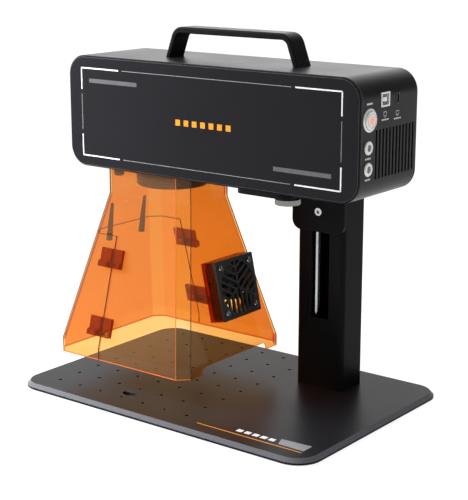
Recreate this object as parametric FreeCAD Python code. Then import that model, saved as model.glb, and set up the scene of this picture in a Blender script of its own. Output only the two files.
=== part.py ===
import FreeCAD, Part
import math
import os

# Desktop galvo laser engraver: base plate, lift column, laser head and tinted shield.
# Millimetres.  +Z is up, +X runs along the head to the connector end, the operator stands at -Y.
# The origin is the middle of the base plate's footprint, on the surface that the feet rest on.

V = FreeCAD.Vector
os.makedirs("parts", exist_ok=True)

# ---- driving dimensions ----
base_length = 320.0
base_depth = 217.0
base_thickness = 5.0
base_corner_radius = 22.0
base_edge_chamfer = 3.2
foot_height = 1.0
foot_radius = 9.0
foot_inset = 15.0
middle_foot_radius = 7.0
middle_foot_x = 38.0

grid_pitch = 25.0
grid_columns = 7
grid_rows = 8
grid_hole_radius = 1.75
grid_left_margin = 31.0
grid_front_margin = 25.0
window_radius = 8.0
window_row_gap = 13.5

head_length = 309.0
head_depth = 86.0
head_height = 99.0
head_corner_radius = 18.0
head_wall = 2.5
panel_thickness = 3.0
panel_edge_chamfer = 1.5
tie_inset = 14.0
tie_radius = 2.0
tie_head_radius = 3.5
tie_head_height = 1.8
tie_depth = 1.5
head_underside = 199.5
head_shift_x = 10.0
head_shift_y = -3.0

column_width = 49.0
column_depth = 34.5
column_wall = 3.0
column_corner_radius = 4.5
column_height = 272.0
column_shift_x = 68.5
slot_width = 19.3
slot_low = 70.0
slot_high = 270.0
slot_corner_radius = 3.0
cap_thickness = 3.0
cap_spigot = 4.0
foot_block_height = 20.0
column_bolt_radius = 2.5
column_bolt_head_radius = 4.5
column_bolt_inset = 8.0

guide_rod_radius = 3.0
guide_rod_spacing = 20.0
guide_rod_setback = 10.0
screw_radius = 4.0
screw_to_back = 12.5
bearing_radius = 8.0
bearing_height = 5.0
wheel_radius = 16.0
wheel_height = 8.0
wheel_clearance = 1.0

bracket_width = 54.5
bracket_thickness = 4.0
bracket_corner_radius = 9.0
bracket_drop = 49.5
bracket_rise = 36.0
arm_front_inset = 1.0
bracket_screw_radius = 2.0
bracket_screw_head = 3.5

carriage_height = 65.0
carriage_drop = 42.0
carriage_screw_pitch = 44.0
carriage_screw_inset = 10.5
bushing_radius = 5.0
nut_radius = 6.5
nut_flange_radius = 9.0
nut_flange_height = 3.0
tongue_gap = 0.4

slide_gap = 0.3
fit_gap = 0.1
running_gap = 0.05
free_gap = 0.5

handle_span = 141.4
handle_rise = 26.8
handle_bar = 5.5
handle_width = 20.0
handle_lean = 9.8
handle_bend_radius = 12.0
handle_edge_chamfer = 1.2
handle_screw_radius = 1.5
handle_screw_spacing = 10.0
handle_screw_depth = 5.0
handle_shift_x = 11.7

lens_x = -60.0
lens_y = -3.3
lens_radius = 32.3
lens_drop = 14.5
lens_wall = 3.5
chassis_thickness = 2.0
beam_rise = 24.0
beam_offset_y = 14.0
galvo_block_length = 48.0
galvo_block_width = 52.0
galvo_block_height = 42.0
galvo_wall = 5.0
galvo_motor_radius = 8.0
galvo_motor_length = 32.0
galvo_shaft_radius = 1.5
galvo_shaft_depth = 18.0
mirror_thickness = 1.5
first_mirror_width = 12.0
second_mirror_length = 16.0
mirror_height = 13.0
clamp_radius = 3.0
clamp_length = 3.0
nozzle_length = 16.0
source_length = 140.0
source_width = 40.0
source_height = 48.0
sink_height = 20.0
board_standoff = 3.0
board_thickness = 1.6
board_screw_x = (6.0, 124.0)
board_low_margin = 14.5
board_high_margin = 16.5
first_motor_headroom = 18.0

shield_x = -65.5
shield_y = -3.3
shield_wall = 2.0
collar_half_x = 47.9
collar_half_y = 35.1
skirt_half_x = 76.8
skirt_half_y = 71.9
shield_corner_cut = 9.3
collar_height = 25.2
slope_height = 133.6
skirt_height = 10.4
flange_thickness = 2.5
notch_half_width = 46.8
notch_height = 7.0
notch_corner_radius = 6.0
door_edge_x = -88.4
door_top_drop = 58.9
door_gap = 0.8
shield_knob_radius = 4.5
shield_knob_height = 6.0
shield_knob_half_x = 37.0
shield_knob_half_y = 24.5
shield_stud_radius = 1.5
guide_spacing = 44.4
guide_thickness = 4.0
guide_rise = 22.8
guide_reach = 12.9
guide_depth = 5.0

catch_width = 25.0
catch_height = 17.2
catch_thickness = 3.0
catch_rib_height = 5.4
catch_rib_thickness = 5.5
catch_drops = (79.0, 138.7)
catch_magnet_radius = 1.6
catch_magnet_length = 5.0

exhaust_fan_size = 50.0
exhaust_fan_depth = 11.0
exhaust_screw_inset = 5.0
fan_box_depth = 14.0
fan_box_wall = 1.3
fan_box_drop = 101.8
grille_thickness = 1.9
grille_circle_radius = 23.4
grille_slat_pitch = 5.9
grille_rib = 2.0
grille_screw_radius = 1.5
grille_screw_head = 2.6
fan_axle_radius = 1.5
fan_rim = 1.75
fan_hub_radius = 11.0
fan_mount_thickness = 1.5
fan_blades = 7

head_fan_size = 40.0
head_fan_depth = 10.0
head_fan_pitch = 32.0
head_fan_hub_radius = 9.0
vent_count = 12
vent_pitch = 5.0
vent_width = 2.8
vent_height = 38.8
vent_first_y = 23.5
vent_low = 18.4

button_radius = 7.4
button_bezel_radius = 9.3
button_from_front = 12.7
button_drop = 33.2
button_body_radius = 8.0
button_body_depth = 18.0
button_depth = 9.0
button_proud = 2.6
bezel_height = 1.2
light_radius = 3.3
light_width = 0.9
jack_radius = 5.5
jack_body_radius = 4.6
jack_body_depth = 13.0
jack_bore_radius = 2.8
jack_from_front = 11.8
jack_drops = (71.5, 54.6)
usb_b_width = 12.7
usb_b_height = 11.4
usb_b_depth = 10.0
usb_b_mouth_depth = 8.0
usb_b_from_front = 35.4
usb_b_drop = 19.2
usb_c_width = 4.6
usb_c_height = 8.4
usb_c_from_front = 53.9
usb_c_drop = 20.2

thumb_radius = 10.7
thumb_height = 5.0
thumb_neck_radius = 5.9
thumb_neck = 2.0
thumb_shank_radius = 3.0
thumb_x = 84.0
thumb_from_front = 18.6

# ---- places worked out from the driving dimensions ----
plate_low = foot_height
plate_top = plate_low + base_thickness
head_left = head_shift_x - head_length / 2
head_right = head_shift_x + head_length / 2
head_front = head_shift_y - head_depth / 2
head_back = head_shift_y + head_depth / 2
head_top = head_underside + head_height
shell_front = head_front + panel_thickness
shell_back = head_back - panel_thickness
shell_right_inside = head_right - head_wall
bracket_back = head_back + bracket_thickness
column_front = bracket_back + slide_gap
column_middle_y = column_front + column_depth / 2
column_top = plate_top + column_height
cap_top = column_top + cap_thickness
rod_y = column_front + guide_rod_setback
rod_low = plate_top + 8.0
rod_top = column_top - 1.0
screw_y = column_front + column_depth - screw_to_back
lower_bearing_low = plate_top + foot_block_height
upper_bearing_low = column_top - cap_spigot
carriage_low = head_underside - carriage_drop
carriage_top = carriage_low + carriage_height
board_screw_z = (head_underside + board_low_margin, head_top - board_high_margin)
board_corners = [(x, z) for x in board_screw_x for z in board_screw_z]
arm_low = head_underside - bracket_thickness
arm_front = head_front + arm_front_inset
thumb_y = head_front + thumb_from_front
floor_inside = head_underside + head_wall
chassis_top = floor_inside + chassis_thickness
beam_z = chassis_top + beam_rise
beam_y = lens_y + beam_offset_y
block_left = lens_x - galvo_block_length / 2
block_right = lens_x + galvo_block_length / 2
block_front = lens_y - galvo_block_width / 2 + 2.0
block_back = block_front + galvo_block_width
block_top = chassis_top + galvo_block_height
first_motor_length = head_top - head_wall - first_motor_headroom - block_top
source_left = block_right + nozzle_length
shield_top = head_underside
kink_z = shield_top - collar_height
fold_z = kink_z - slope_height
shield_low = fold_z - skirt_height
door_top = shield_top - door_top_drop
door_seam = door_top + door_gap / 2
slope_turn_x = math.atan2(skirt_half_x - collar_half_x, slope_height)
slope_turn_y = math.atan2(skirt_half_y - collar_half_y, slope_height)
fan_box_size = exhaust_fan_size + 2 * (fan_box_wall + fit_gap)
exhaust_fan_pitch = exhaust_fan_size - 2 * exhaust_screw_inset


# ---- small building blocks ----
def save(name, shape):
    """Write one sub-part."""
    shape.exportStep("parts/" + name + ".step")
    print(name, len(shape.Solids), round(shape.Volume, 1))


def box(low, high):
    return Part.makeBox(high[0] - low[0], high[1] - low[1], high[2] - low[2], V(*low))


def cylinder(radius, start, end):
    axis = V(*end) - V(*start)
    return Part.makeCylinder(radius, axis.Length, V(*start), axis)


def ring(outer, inner, start, end):
    return cylinder(outer, start, end).cut(cylinder(inner, start, end))


def joined(shapes):
    whole = shapes[0]
    if len(shapes) > 1:
        whole = whole.fuse(shapes[1:])
    return whole.removeSplitter()


def group(shapes):
    return Part.makeCompound(shapes)


def rounded_outline(width, height, radius):
    """Closed wire in XY, centred on the origin."""
    w = width / 2
    h = height / 2
    k = radius * (1 - math.sqrt(0.5))
    edges = []
    corners = ((w, h, 0), (-w, h, 1), (-w, -h, 2), (w, -h, 3))
    points = []
    for x, y, turn in corners:
        sx = math.copysign(1, x)
        sy = math.copysign(1, y)
        flat = V(x, y - sy * radius, 0)
        bend = V(x - sx * k, y - sy * k, 0)
        top = V(x - sx * radius, y, 0)
        points.append((flat, bend, top) if turn % 2 == 0 else (top, bend, flat))
    for number, (first, middle, last) in enumerate(points):
        edges.append(Part.Arc(first, middle, last).toShape())
        following = points[(number + 1) % 4][0]
        edges.append(Part.LineSegment(last, following).toShape())
    return Part.Wire(edges)


def rounded_plate(width, height, radius, thickness):
    """Plate in XY with rounded corners, from z = 0 up."""
    return Part.Face(rounded_outline(width, height, radius)).extrude(V(0, 0, thickness))


def upright_slab(width, height, radius, centre_x, centre_z, front, back):
    """Rounded rectangle in XZ, run along Y from front to back."""
    slab = rounded_plate(width, height, radius, back - front)
    slab.rotate(V(0, 0, 0), V(1, 0, 0), 90)
    slab.translate(V(centre_x, back, centre_z))
    return slab


def polygon_prism(points, push):
    corners = [V(*p) for p in points]
    return Part.Face(Part.makePolygon(corners + corners[:1])).extrude(V(*push))


def edges_at_height(shape, z):
    return [e for e in shape.Edges if abs(e.BoundBox.ZMin - z) < 1e-4 and abs(e.BoundBox.ZMax - z) < 1e-4]


def edges_at_depth(shape, y):
    return [e for e in shape.Edges if abs(e.BoundBox.YMin - y) < 1e-4 and abs(e.BoundBox.YMax - y) < 1e-4]


def placed(shape, origin, along, up, outward):
    """Put a shape drawn in local X, Y, Z on a frame of three directions."""
    copy = shape.copy()
    turn = FreeCAD.Rotation(along, up, outward, "ZXY")
    copy.Placement = FreeCAD.Placement(origin, turn).multiply(copy.Placement)
    return copy


# ---- base ----
def base_plate():
    plate = rounded_plate(base_length, base_depth, base_corner_radius, base_thickness)
    plate.translate(V(0, 0, plate_low))
    plate = plate.makeChamfer(base_edge_chamfer, edges_at_height(plate, plate_top))
    cuts = []
    first_x = grid_left_margin - base_length / 2
    first_y = grid_front_margin - base_depth / 2
    for column in range(grid_columns):
        for row in range(grid_rows):
            x = first_x + column * grid_pitch
            y = first_y + row * grid_pitch
            cuts.append(cylinder(grid_hole_radius, (x, y, 0), (x, y, plate_top + 1)))
    window_x = first_x + (grid_columns // 2) * grid_pitch
    window_y = first_y + window_row_gap
    window = cylinder(window_radius, (window_x, window_y, 0), (window_x, window_y, plate_top + 1))
    front_half = box(
        (window_x - window_radius, window_y - window_radius, 0),
        (window_x + window_radius, window_y, plate_top + 1),
    )
    cuts.append(window.common(front_half))
    for x, y in column_bolt_places():
        cuts.append(cylinder(column_bolt_radius + fit_gap, (x, y, 0), (x, y, plate_top + 1)))
        cuts.append(cylinder(column_bolt_head_radius + fit_gap, (x, y, 0), (x, y, plate_low + 3.0)))
    return plate.cut(cuts)


def base_feet():
    feet = []
    reach_x = base_length / 2 - foot_inset
    reach_y = base_depth / 2 - foot_inset
    for x in (-reach_x, middle_foot_x, reach_x):
        for y in (-reach_y, reach_y):
            feet.append(cylinder(foot_radius, (x, y, 0), (x, y, foot_height)))
    feet.append(cylinder(middle_foot_radius, (0, 0, 0), (0, 0, foot_height)))
    return group(feet)


def column_bolt_places():
    reach_x = column_width / 2 - column_bolt_inset
    reach_y = column_depth / 2 - column_bolt_inset
    return [
        (column_shift_x + sx * reach_x, column_middle_y + sy * reach_y)
        for sx in (-1, 1)
        for sy in (-1, 1)
    ]


# ---- column ----
def column_tube():
    outer = rounded_plate(column_width, column_depth, column_corner_radius, column_height)
    inner = rounded_plate(
        column_width - 2 * column_wall,
        column_depth - 2 * column_wall,
        column_corner_radius - column_wall,
        column_height,
    )
    tube = outer.cut(inner)
    tube.translate(V(column_shift_x, column_middle_y, plate_top))
    slot = upright_slab(
        slot_width,
        slot_high - slot_low,
        slot_corner_radius,
        column_shift_x,
        (slot_high + slot_low) / 2,
        column_front - 1,
        column_front + column_wall + 1,
    )
    return tube.cut(slot)


def column_foot_block():
    width = column_width - 2 * column_wall - 2 * fit_gap
    depth = column_depth - 2 * column_wall - 2 * fit_gap
    block = rounded_plate(width, depth, column_corner_radius - column_wall, foot_block_height)
    block.translate(V(column_shift_x, column_middle_y, plate_top))
    cuts = []
    for x, y in column_bolt_places():
        cuts.append(cylinder(column_bolt_radius, (x, y, plate_top), (x, y, plate_top + 14.0)))
    for x in guide_rod_places():
        cuts.append(cylinder(guide_rod_radius, (x, rod_y, rod_low), (x, rod_y, lower_bearing_low)))
    return block.cut(cuts)


def column_bolts():
    bolts = []
    for x, y in column_bolt_places():
        bolt_head = cylinder(column_bolt_head_radius, (x, y, plate_low + 0.3), (x, y, plate_low + 3.0))
        socket = cylinder(1.8, (x, y, plate_low + 0.3), (x, y, plate_low + 1.8))
        shank = cylinder(column_bolt_radius, (x, y, plate_low + 3.0), (x, y, plate_top + 13.5))
        bolts.append(joined([bolt_head, shank]).cut(socket))
    return group(bolts)


def guide_rod_places():
    return (column_shift_x - guide_rod_spacing / 2, column_shift_x + guide_rod_spacing / 2)


def guide_rods():
    return group([
        cylinder(guide_rod_radius, (x, rod_y, rod_low), (x, rod_y, rod_top)) for x in guide_rod_places()
    ])


def column_top_cap():
    cap = rounded_plate(column_width, column_depth, column_corner_radius, cap_thickness)
    cap.translate(V(column_shift_x, column_middle_y, column_top))
    spigot = rounded_plate(
        column_width - 2 * column_wall - 2 * fit_gap,
        column_depth - 2 * column_wall - 2 * fit_gap,
        column_corner_radius - column_wall,
        cap_spigot,
    )
    spigot.translate(V(column_shift_x, column_middle_y, column_top - cap_spigot))
    cap = joined([cap, spigot])
    cap = cap.makeChamfer(0.8, edges_at_height(cap, cap_top))
    cuts = [
        cylinder(bearing_radius, (column_shift_x, screw_y, upper_bearing_low - 1),
                 (column_shift_x, screw_y, upper_bearing_low + bearing_height)),
        cylinder(screw_radius + free_gap, (column_shift_x, screw_y, column_top - 5),
                 (column_shift_x, screw_y, cap_top + 1)),
    ]
    for x in guide_rod_places():
        cuts.append(cylinder(guide_rod_radius, (x, rod_y, column_top - 5), (x, rod_y, rod_top)))
    return cap.cut(cuts)


def screw_bearings():
    lower = ring(bearing_radius, screw_radius + running_gap, (column_shift_x, screw_y, lower_bearing_low),
                 (column_shift_x, screw_y, lower_bearing_low + bearing_height))
    upper = ring(bearing_radius, screw_radius + running_gap, (column_shift_x, screw_y, upper_bearing_low),
                 (column_shift_x, screw_y, upper_bearing_low + bearing_height))
    return group([lower, upper])


# ---- lift ----
def lead_screw():
    x = column_shift_x
    screw_top = cap_top + wheel_clearance + wheel_height + 1.0
    body = cylinder(screw_radius, (x, screw_y, lower_bearing_low + free_gap), (x, screw_y, screw_top))
    grooves = []
    z = lower_bearing_low + bearing_height + 4.0
    while z < upper_bearing_low - 6.0:
        groove = ring(screw_radius + 1, screw_radius - 0.5, (x, screw_y, z), (x, screw_y, z + 0.9))
        grooves.append(groove)
        z += 2.0
    return body.cut(grooves)


def hand_wheel():
    x = column_shift_x
    low = cap_top + wheel_clearance
    wheel = cylinder(wheel_radius, (x, screw_y, low), (x, screw_y, low + wheel_height))
    wheel = wheel.makeChamfer(0.8, [e for e in wheel.Edges if e.Curve.TypeId == "Part::GeomCircle"])
    cuts = []
    lobes = 16
    for number in range(lobes):
        angle = 2 * math.pi * number / lobes
        lobe_x = x + (wheel_radius + 0.8) * math.cos(angle)
        lobe_y = screw_y + (wheel_radius + 0.8) * math.sin(angle)
        cuts.append(cylinder(1.9, (lobe_x, lobe_y, low - 1), (lobe_x, lobe_y, low + wheel_height + 1)))
    cuts.append(cylinder(screw_radius, (x, screw_y, low - 1), (x, screw_y, low + wheel_height + 1)))
    cuts.append(ring(wheel_radius - 3.5, screw_radius + 3.0, (x, screw_y, low + wheel_height - 1.2),
                     (x, screw_y, low + wheel_height + 1)))
    return wheel.cut(cuts)


def carriage_block():
    half = column_width / 2 - column_wall - free_gap
    front = column_front + column_wall + free_gap
    back = column_front + column_depth - column_wall - free_gap
    block = box((column_shift_x - half, front, carriage_low), (column_shift_x + half, back, carriage_top))
    tongue_half = slot_width / 2 - tongue_gap
    tongue = box(
        (column_shift_x - tongue_half, bracket_back, carriage_low),
        (column_shift_x + tongue_half, front, carriage_top),
    )
    block = joined([block, tongue])
    cuts = [cylinder(nut_radius, (column_shift_x, screw_y, carriage_low - 1),
                     (column_shift_x, screw_y, carriage_top + 1))]
    for x in guide_rod_places():
        cuts.append(cylinder(bushing_radius, (x, rod_y, carriage_low - 1), (x, rod_y, carriage_top + 1)))
    for z in bracket_screw_heights():
        cuts.append(cylinder(bracket_screw_radius, (column_shift_x, bracket_back, z),
                             (column_shift_x, bracket_back + 5.0, z)))
    return block.cut(cuts)


def bracket_screw_heights():
    low = carriage_low + carriage_screw_inset
    return (low, low + carriage_screw_pitch)


def carriage_bushings():
    bore_radius = guide_rod_radius + running_gap
    return group([
        ring(bushing_radius, bore_radius, (x, rod_y, carriage_low), (x, rod_y, carriage_top))
        for x in guide_rod_places()
    ])


def lift_nut():
    x = column_shift_x
    sleeve = cylinder(nut_radius, (x, screw_y, carriage_low), (x, screw_y, carriage_top))
    flange = cylinder(nut_flange_radius, (x, screw_y, carriage_low - nut_flange_height),
                      (x, screw_y, carriage_low))
    bore = cylinder(screw_radius + running_gap, (x, screw_y, carriage_low - nut_flange_height - 1),
                    (x, screw_y, carriage_top + 1))
    # The flange is relieved round the guide rods, which only bites where the column is shallow.
    reliefs = [cylinder(guide_rod_radius + free_gap, (x + side * guide_rod_spacing / 2, rod_y, carriage_low - 10),
                        (x + side * guide_rod_spacing / 2, rod_y, carriage_low)) for side in (-1, 1)]
    return joined([sleeve, flange]).cut(bore).cut(group(reliefs))


def head_bracket():
    low = head_underside - bracket_drop
    high = head_underside + bracket_rise
    upright = upright_slab(
        bracket_width, high - low, bracket_corner_radius, column_shift_x, (low + high) / 2,
        head_back, bracket_back,
    )
    arm = rounded_plate(bracket_width, bracket_back - arm_front, bracket_corner_radius, bracket_thickness)
    arm.translate(V(column_shift_x, (bracket_back + arm_front) / 2, arm_low))
    square_end = box(
        (column_shift_x - bracket_width / 2, head_back - bracket_corner_radius, arm_low),
        (column_shift_x + bracket_width / 2, bracket_back, head_underside),
    )
    bracket = joined([upright, arm, square_end])
    cuts = [cylinder(thumb_shank_radius + running_gap, (thumb_x, thumb_y, arm_low - 1),
                     (thumb_x, thumb_y, head_underside + 1))]
    for z in bracket_screw_heights():
        cuts.append(cylinder(bracket_screw_head + fit_gap, (column_shift_x, head_back - 1, z),
                             (column_shift_x, head_back + 2.4, z)))
        cuts.append(cylinder(bracket_screw_radius, (column_shift_x, head_back, z),
                             (column_shift_x, bracket_back + 1, z)))
    return bracket.cut(cuts)


def bracket_screws():
    screws = []
    for z in bracket_screw_heights():
        x = column_shift_x
        screw_head = cylinder(bracket_screw_head, (x, head_back, z), (x, head_back + 2.4, z))
        shank = cylinder(bracket_screw_radius, (x, head_back + 2.4, z), (x, bracket_back + 5.0, z))
        hexagon = [
            (x + 1.75 * math.cos(math.radians(60 * k)), head_back, z + 1.75 * math.sin(math.radians(60 * k)))
            for k in range(6)
        ]
        socket = polygon_prism(hexagon, (0, 1.6, 0))
        screws.append(joined([screw_head, shank]).cut(socket))
    return group(screws)


def thumb_screw():
    top = arm_low - slide_gap - thumb_neck
    knob = cylinder(thumb_radius, (thumb_x, thumb_y, top - thumb_height), (thumb_x, thumb_y, top))
    knob = knob.makeChamfer(0.5, [e for e in knob.Edges if e.Curve.TypeId == "Part::GeomCircle"])
    cuts = []
    teeth = 40
    for number in range(teeth):
        angle = 2 * math.pi * number / teeth
        x = thumb_x + (thumb_radius + 0.35) * math.cos(angle)
        y = thumb_y + (thumb_radius + 0.35) * math.sin(angle)
        cuts.append(cylinder(0.6, (x, y, top - thumb_height - 1), (x, y, top + 1)))
    knob = knob.cut(cuts)
    neck = cylinder(thumb_neck_radius, (thumb_x, thumb_y, top), (thumb_x, thumb_y, top + thumb_neck))
    shank = cylinder(thumb_shank_radius, (thumb_x, thumb_y, top), (thumb_x, thumb_y, chassis_top + 2.0))
    return joined([knob, neck, shank])


# ---- head casing ----
def head_slab(inset, front, back):
    slab = upright_slab(
        head_length - 2 * inset, head_height - 2 * inset, head_corner_radius - inset,
        head_shift_x, head_underside + head_height / 2, front, back,
    )
    return slab


def tie_places():
    low = head_underside + tie_inset
    high = head_top - tie_inset
    return [(x, z) for x in (head_left + tie_inset, head_right - tie_inset) for z in (low, high)]


def shield_knob_places():
    return [
        (shield_x + sx * shield_knob_half_x, shield_y + sy * shield_knob_half_y)
        for sx in (-1, 1)
        for sy in (-1, 1)
    ]


def handle_screw_places():
    middle = handle_span / 2 - handle_bar / 2 - 0.3
    return [
        (handle_shift_x + side * middle, head_shift_y + reach)
        for side in (-1, 1)
        for reach in (-handle_screw_spacing / 2, handle_screw_spacing / 2)
    ]


def port(y_from_front, drop):
    return (head_front + y_from_front, head_top - drop)


def side_block(y, z, width, height, start, end):
    return box((start, y - width / 2, z - height / 2), (end, y + width / 2, z + height / 2))


def head_shell():
    shell = head_slab(0, shell_front, shell_back).cut(head_slab(head_wall, shell_front - 1, shell_back + 1))
    outside = head_right + 1
    inside = shell_right_inside - 1
    cuts = []
    y, z = port(button_from_front, button_drop)
    cuts.append(cylinder(button_body_radius + fit_gap, (inside, y, z), (outside, y, z)))
    for drop in jack_drops:
        y, z = port(jack_from_front, drop)
        cuts.append(cylinder(jack_body_radius + fit_gap, (inside, y, z), (outside, y, z)))
    y, z = port(usb_b_from_front, usb_b_drop)
    cuts.append(side_block(y, z, usb_b_width + 2 * fit_gap, usb_b_height + 2 * fit_gap, inside, outside))
    y, z = port(usb_c_from_front, usb_c_drop)
    cuts.append(side_block(y, z, usb_c_width + 2 * fit_gap, usb_c_height + 2 * fit_gap, inside, outside))
    for number in range(vent_count):
        y = head_front + vent_first_y + number * vent_pitch
        z = head_underside + vent_low + vent_height / 2
        cuts.append(side_block(y, z, vent_width, vent_height, inside, outside))
    cuts.append(cylinder(lens_radius + fit_gap, (lens_x, lens_y, head_underside - 1),
                         (lens_x, lens_y, floor_inside + 1)))
    cuts.append(cylinder(thumb_shank_radius + running_gap, (thumb_x, thumb_y, head_underside - 1),
                         (thumb_x, thumb_y, floor_inside + 1)))
    for x, y in shield_knob_places():
        cuts.append(cylinder(shield_stud_radius, (x, y, head_underside - 1), (x, y, floor_inside + 1)))
    for x, y in handle_screw_places():
        cuts.append(cylinder(handle_screw_radius, (x, y, head_top - head_wall - 1), (x, y, head_top + 1)))
    return shell.cut(cuts)


def front_panel():
    panel = head_slab(0, head_front, shell_front)
    panel = panel.makeChamfer(panel_edge_chamfer, edges_at_depth(panel, head_front))
    cuts = [cylinder(tie_radius, (x, shell_front - tie_depth, z), (x, shell_front + 1, z))
            for x, z in tie_places()]
    return panel.cut(cuts)


def rear_panel():
    panel = head_slab(0, shell_back, head_back)
    panel = panel.makeChamfer(panel_edge_chamfer, edges_at_depth(panel, head_back))
    cuts = []
    for x, z in tie_places():
        cuts.append(cylinder(tie_radius, (x, shell_back - 1, z), (x, head_back + 1, z)))
        cuts.append(cylinder(tie_head_radius + slide_gap, (x, head_back - tie_head_height, z),
                             (x, head_back + 1, z)))
    return panel.cut(cuts)


def panel_tie_bolts():
    bolts = []
    for x, z in tie_places():
        shank = cylinder(tie_radius, (x, shell_front - tie_depth, z), (x, head_back - tie_head_height, z))
        bolt_head = cylinder(tie_head_radius, (x, head_back - tie_head_height, z), (x, head_back, z))
        socket = cylinder(1.5, (x, head_back - 1.2, z), (x, head_back, z))
        bolts.append(joined([shank, bolt_head]).cut(socket))
    return group(bolts)


def chassis_plate():
    plate = box(
        (head_left + 20.0, shell_front + 1.0, floor_inside),
        (head_right - 20.0, shell_back - 1.0, chassis_top),
    )
    cuts = [
        cylinder(lens_radius + fit_gap, (lens_x, lens_y, floor_inside - 1),
                 (lens_x, lens_y, chassis_top + 1)),
        cylinder(thumb_shank_radius + running_gap, (thumb_x, thumb_y, floor_inside - 1),
                 (thumb_x, thumb_y, chassis_top + 1)),
    ]
    for x, y in shield_knob_places():
        cuts.append(cylinder(shield_stud_radius, (x, y, floor_inside - 1), (x, y, chassis_top + 1)))
    return plate.cut(cuts)


# ---- carry handle ----
def handle_outline(inset):
    """Open polyline of one side of the bar: lean legs, rounded shoulders and a flat grip."""
    half = handle_span / 2 - inset
    rise = handle_rise - inset
    lean = handle_lean * rise / handle_rise
    shoulder = V(half - lean, 0, rise)
    foot = V(half, 0, 0)
    radius = handle_bend_radius - inset
    leg = (shoulder - foot).normalize()
    turn = math.acos(max(-1.0, min(1.0, leg.dot(V(-1, 0, 0)))))
    reach = radius * math.tan(turn / 2)
    start = shoulder - leg * reach
    end = shoulder + V(-1, 0, 0) * reach
    normal = V(-leg.z, 0, leg.x)
    centre = start + normal * radius
    middle = centre + (shoulder - centre).normalize() * radius
    return foot, start, middle, end


def carry_handle():
    outer = handle_outline(0)
    inner = handle_outline(handle_bar)

    def run(points, side):
        return [V(side * p.x, 0, p.z) for p in points]

    right_out = run(outer, 1)
    left_out = run(outer, -1)
    right_in = run(inner, 1)
    left_in = run(inner, -1)
    edges = [
        Part.LineSegment(right_out[0], right_out[1]).toShape(),
        Part.Arc(right_out[1], right_out[2], right_out[3]).toShape(),
        Part.LineSegment(right_out[3], left_out[3]).toShape(),
        Part.Arc(left_out[3], left_out[2], left_out[1]).toShape(),
        Part.LineSegment(left_out[1], left_out[0]).toShape(),
        Part.LineSegment(left_out[0], left_in[0]).toShape(),
        Part.LineSegment(left_in[0], left_in[1]).toShape(),
        Part.Arc(left_in[1], left_in[2], left_in[3]).toShape(),
        Part.LineSegment(left_in[3], right_in[3]).toShape(),
        Part.Arc(right_in[3], right_in[2], right_in[1]).toShape(),
        Part.LineSegment(right_in[1], right_in[0]).toShape(),
        Part.LineSegment(right_in[0], right_out[0]).toShape(),
    ]
    handle = Part.Face(Part.Wire(edges)).extrude(V(0, handle_width, 0))
    rims = [e for e in edges_at_depth(handle, 0) + edges_at_depth(handle, handle_width)
            if e.BoundBox.ZMax > 0.01]
    handle = handle.makeChamfer(handle_edge_chamfer, rims)
    handle.translate(V(handle_shift_x, head_shift_y - handle_width / 2, head_top))
    cuts = [cylinder(handle_screw_radius, (x, y, head_top - 1), (x, y, head_top + handle_screw_depth))
            for x, y in handle_screw_places()]
    return handle.cut(cuts)


def handle_screws():
    inside = head_top - head_wall
    return group([
        joined([
            cylinder(3.0, (x, y, inside - 2.0), (x, y, inside)),
            cylinder(handle_screw_radius, (x, y, inside), (x, y, head_top + handle_screw_depth)),
        ])
        for x, y in handle_screw_places()
    ])


# ---- controls and sockets on the right wall ----
def power_button_bezel():
    y, z = port(button_from_front, button_drop)
    flange = cylinder(button_bezel_radius, (head_right, y, z), (head_right + bezel_height, y, z))
    rim = [e for e in flange.Edges if abs(e.BoundBox.XMin - head_right - bezel_height) < 1e-4
           and abs(e.BoundBox.XMax - head_right - bezel_height) < 1e-4]
    flange = flange.makeChamfer(0.5, rim)
    body = cylinder(button_body_radius, (head_right - button_body_depth, y, z), (head_right, y, z))
    well = cylinder(button_radius + slide_gap, (head_right - button_body_depth + 3.0, y, z),
                    (head_right + bezel_height + 1, y, z))
    return joined([flange, body]).cut(well)


def power_button():
    y, z = port(button_from_front, button_drop)
    face = head_right + button_proud
    button = cylinder(button_radius, (face - button_depth, y, z), (face, y, z))
    rim = [e for e in button.Edges if e.BoundBox.XMin > face - 1e-3 and e.BoundBox.XMax < face + 1e-3]
    button = button.makeChamfer(0.5, rim)
    dish = ring(5.9, 5.1, (face - 0.35, y, z), (face + 1, y, z))
    light_seat = ring(light_radius, light_radius - light_width, (face - 0.6, y, z), (face + 1, y, z))
    return button.cut([dish, light_seat])


def power_light():
    y, z = port(button_from_front, button_drop)
    face = head_right + button_proud
    return ring(light_radius, light_radius - light_width, (face - 0.6, y, z), (face + 0.05, y, z))


def dc_jacks():
    jacks = []
    for drop in jack_drops:
        y, z = port(jack_from_front, drop)
        flange = cylinder(jack_radius, (head_right, y, z), (head_right + bezel_height, y, z))
        rim = [e for e in flange.Edges if e.BoundBox.XMin > head_right + bezel_height - 0.01]
        flange = flange.makeChamfer(0.5, rim)
        body = cylinder(jack_body_radius, (head_right - jack_body_depth, y, z), (head_right, y, z))
        bore = cylinder(jack_bore_radius, (head_right - 9.0, y, z), (head_right + 2, y, z))
        pin = cylinder(1.0, (head_right - 9.0, y, z), (head_right - 0.5, y, z))
        jacks.append(joined([joined([flange, body]).cut(bore), pin]))
    return group(jacks)


def usb_b_socket():
    y, z = port(usb_b_from_front, usb_b_drop)
    block = side_block(y, z, usb_b_width, usb_b_height, head_right - usb_b_depth, head_right + 0.4)
    deep = head_right - usb_b_mouth_depth
    mouth = side_block(y, z, usb_b_width - 3.0, usb_b_height - 2.8, deep, head_right + 1)
    tongue = side_block(y, z, 5.8, 3.2, deep, head_right - 0.4)
    return joined([block.cut(mouth), tongue])


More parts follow.
